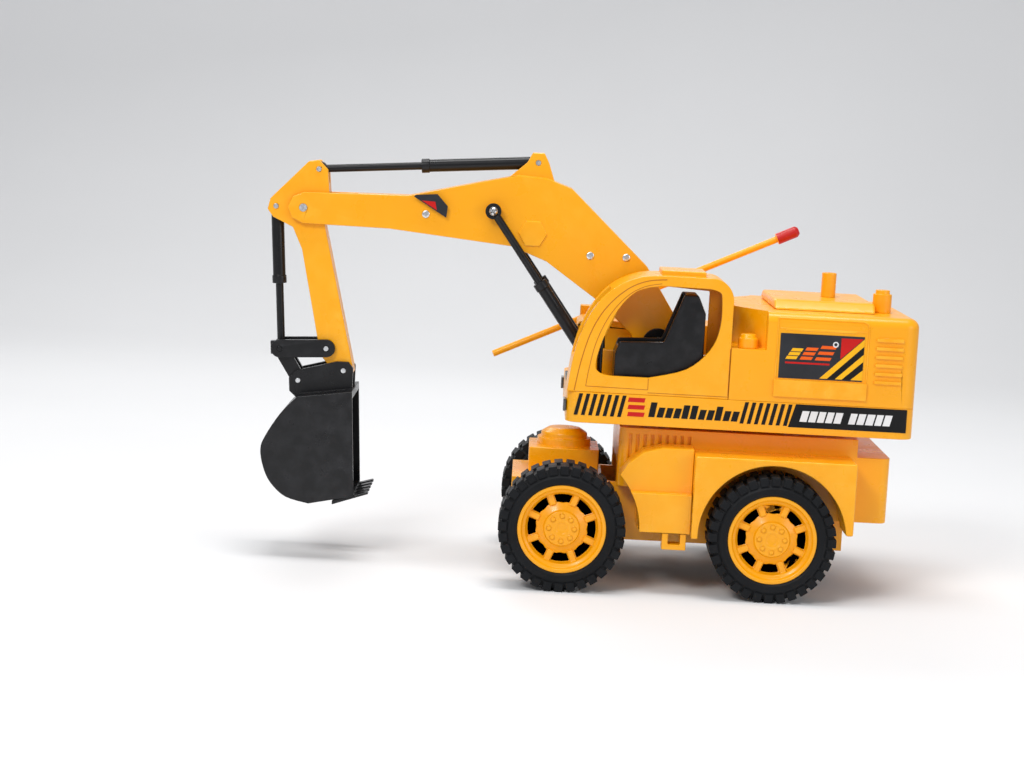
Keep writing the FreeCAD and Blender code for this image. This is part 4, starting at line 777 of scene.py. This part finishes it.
def engine_frame(side):
    """Raised frame and ribs round the plate on the engine side."""
    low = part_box("engine_house")[0]
    house_low, house_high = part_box("house_tub")
    y = house_high.y if side > 0 else house_low.y
    x0, z0 = house_low.x + 70.4 * MM, low.z + 11.4 * MM
    x1, z1 = x0 - 45 * MM, low.z + 42 * MM
    frame_path = [(x1, z0), (x1, z1 - 3 * MM), (x1 + 0.9 * MM, z1 - 0.9 * MM),
                  (x1 + 3 * MM, z1), (x0, z1), (x0, z0)]
    upper = [(x0 - 1 * MM, z1 - 5 * MM), (x1 + 1 * MM, z1 - 5 * MM)]
    middle = [(x0 - 4 * MM, z0 + 25.2 * MM), (x1 + 6 * MM, z0 + 25.2 * MM)]
    ribs = [(frame_path, 0.9, 0.45), (upper, 0.7, 0.35), (middle, 1.3, 0.5)]
    parts = [bead("rib", path, width * MM, y, height * MM, side, yellow) for path, width, height in ribs]
    finish_piece(together("engine_frame_" + SIDE_NAME[side], parts), "house")


def cap_end(piece, reach=12.4 * MM):
    """Coloured cap on the upper rear end of the antenna rod."""
    low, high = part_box("antenna_tube")
    foot, head = Vector((high.x, 0, low.z)), Vector((low.x, 0, high.z))
    run = (head - foot).normalized()
    limit = (head - foot).length - reach
    piece.data.materials.append(cap_red)
    for face in piece.data.polygons:
        if (face.center - foot).dot(run) > limit:
            face.material_index = 1


def boom_plate(side):
    """Small dark plate with a red field on the front of the boom."""
    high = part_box("boom_left_half")[1]
    y = high.y if side > 0 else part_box("boom_right_half")[0].y
    x, z = high.x - 64.5 * MM, 188.2 * MM
    plate = [(x, z + 0.6 * MM), (x - 17 * MM, z - 9.4 * MM), (x - 17.5 * MM, z - 3.5 * MM),
             (x - 12 * MM, z + 2.4 * MM), (x - 1 * MM, z + 1.5 * MM)]
    field = [(x - 4 * MM, z - 1.2 * MM), (x - 12 * MM, z - 5.8 * MM), (x - 11 * MM, z - 1.5 * MM)]
    parts = [printed("plate", plate, y, FILM * 3, side, print_grey),
             printed("field", field, y + FILM * 3 * side, FILM * 0.5, side, print_red)]
    finish_piece(together("boom_plate_" + SIDE_NAME[side], parts), "boom")


# ---------------------------------------------------------------- assembly


for node, item in frame["nodes"].items():
    item.data.materials.clear()
    item.data.materials.append(finishes[slot_of[node]])
refined = {node: rounded(node, width) for node, width in SOFTENED.items()}
cap_end(refined["antenna_tube"])

for side in (1, -1):
    band_print(side)
    engine_plate(side)
    engine_frame(side)
    boom_plate(side)
cab_seams()

heads = []
for low, high in islands("boom_fasteners"):
    middle = (low + high) / 2
    out = 1 if middle.y > 0 else -1
    seat = Vector((middle.x, low.y if out > 0 else high.y, middle.z))
    heads.append((seat, Vector((0, out, 0)), (high.z - low.z) / 2, high.y - low.y))
screw_heads("boom_screws", "boom", heads, replaced=("boom_fasteners",))


# ---------------------------------------------------------------- studio


def backdrop():
    """Pale floor that curves up into a wall behind the toy."""
    shape = bmesh.new()
    profile = [(1.6, 0.0), (-0.9, 0.0)]
    for step in range(1, 13):
        turn = math.radians(90 * step / 12)
        profile.append((-0.9 - 0.6 * math.sin(turn), 0.6 - 0.6 * math.cos(turn)))
    profile.append((-1.5, 2.4))
    left = [shape.verts.new((-3.0, y, z)) for y, z in profile]
    right = [shape.verts.new((3.0, y, z)) for y, z in profile]
    for i in range(len(profile) - 1):
        shape.faces.new((left[i], left[i + 1], right[i + 1], right[i]))
    bmesh.ops.recalc_face_normals(shape, faces=shape.faces)
    for face in shape.faces:
        if face.normal.z < -0.1 or (abs(face.normal.z) < 0.1 and face.normal.y < 0):
            face.normal_flip()
    floor = from_bmesh("studio_floor", shape)
    paint(floor, pale_ground())
    smooth(floor)


def soft_light(name, place, aim, size, power, colour=(1, 1, 1)):
    light = bpy.data.lights.new(name, "AREA")
    light.shape = "RECTANGLE"
    light.size, light.size_y = size
    light.energy = power
    light.color = colour
    lamp = bpy.data.objects.new(name, light)
    bpy.context.scene.collection.objects.link(lamp)
    lamp.location = place
    lamp.rotation_euler = (Vector(aim) - Vector(place)).to_track_quat("-Z", "Y").to_euler()


def set_camera():
    """Long lens level with the house, a touch above, with the slight lean of the display."""
    aim = Vector((0.03506, 0, 0.09388))
    turn, rise, lean = (math.radians(value) for value in (-0.26, 6.94, 3.05))
    look = Vector((-math.sin(turn) * math.cos(rise), -math.cos(turn) * math.cos(rise), -math.sin(rise)))
    right = look.cross(Vector((0, 0, 1))).normalized()
    up = right.cross(look)
    leaned = right * math.cos(lean) + up * math.sin(lean)
    upward = up * math.cos(lean) - right * math.sin(lean)
    data = bpy.data.cameras.new("camera")
    data.lens = 79.1
    data.sensor_width = 36
    camera = bpy.data.objects.new("camera", data)
    bpy.context.scene.collection.objects.link(camera)
    axes = Matrix((leaned, upward, -look)).transposed().to_4x4()
    camera.matrix_world = Matrix.Translation(aim - look * 1.16994) @ axes
    bpy.context.scene.camera = camera


def set_world():
    world = bpy.data.worlds.new("studio")
    world.use_nodes = True
    world.node_tree.nodes["Background"].inputs["Color"].default_value = (0.93, 0.95, 1.0, 1)
    world.node_tree.nodes["Background"].inputs["Strength"].default_value = 0.42
    bpy.context.scene.world = world


backdrop()
set_world()
bpy.context.scene.view_settings.view_transform = "Standard"
soft_light("key", (0.55, 0.95, 0.95), (0, 0, 0.08), (0.45, 0.35), 7.5)
soft_light("fill", (-0.9, 0.8, 0.4), (0, 0, 0.08), (0.6, 0.5), 2.5)
soft_light("top", (0.0, 0.1, 1.3), (0, 0, 0.08), (0.7, 0.45), 9)
soft_light("back", (0.2, -0.9, 0.9), (0, 0, 0.1), (0.8, 0.4), 4)
set_camera()
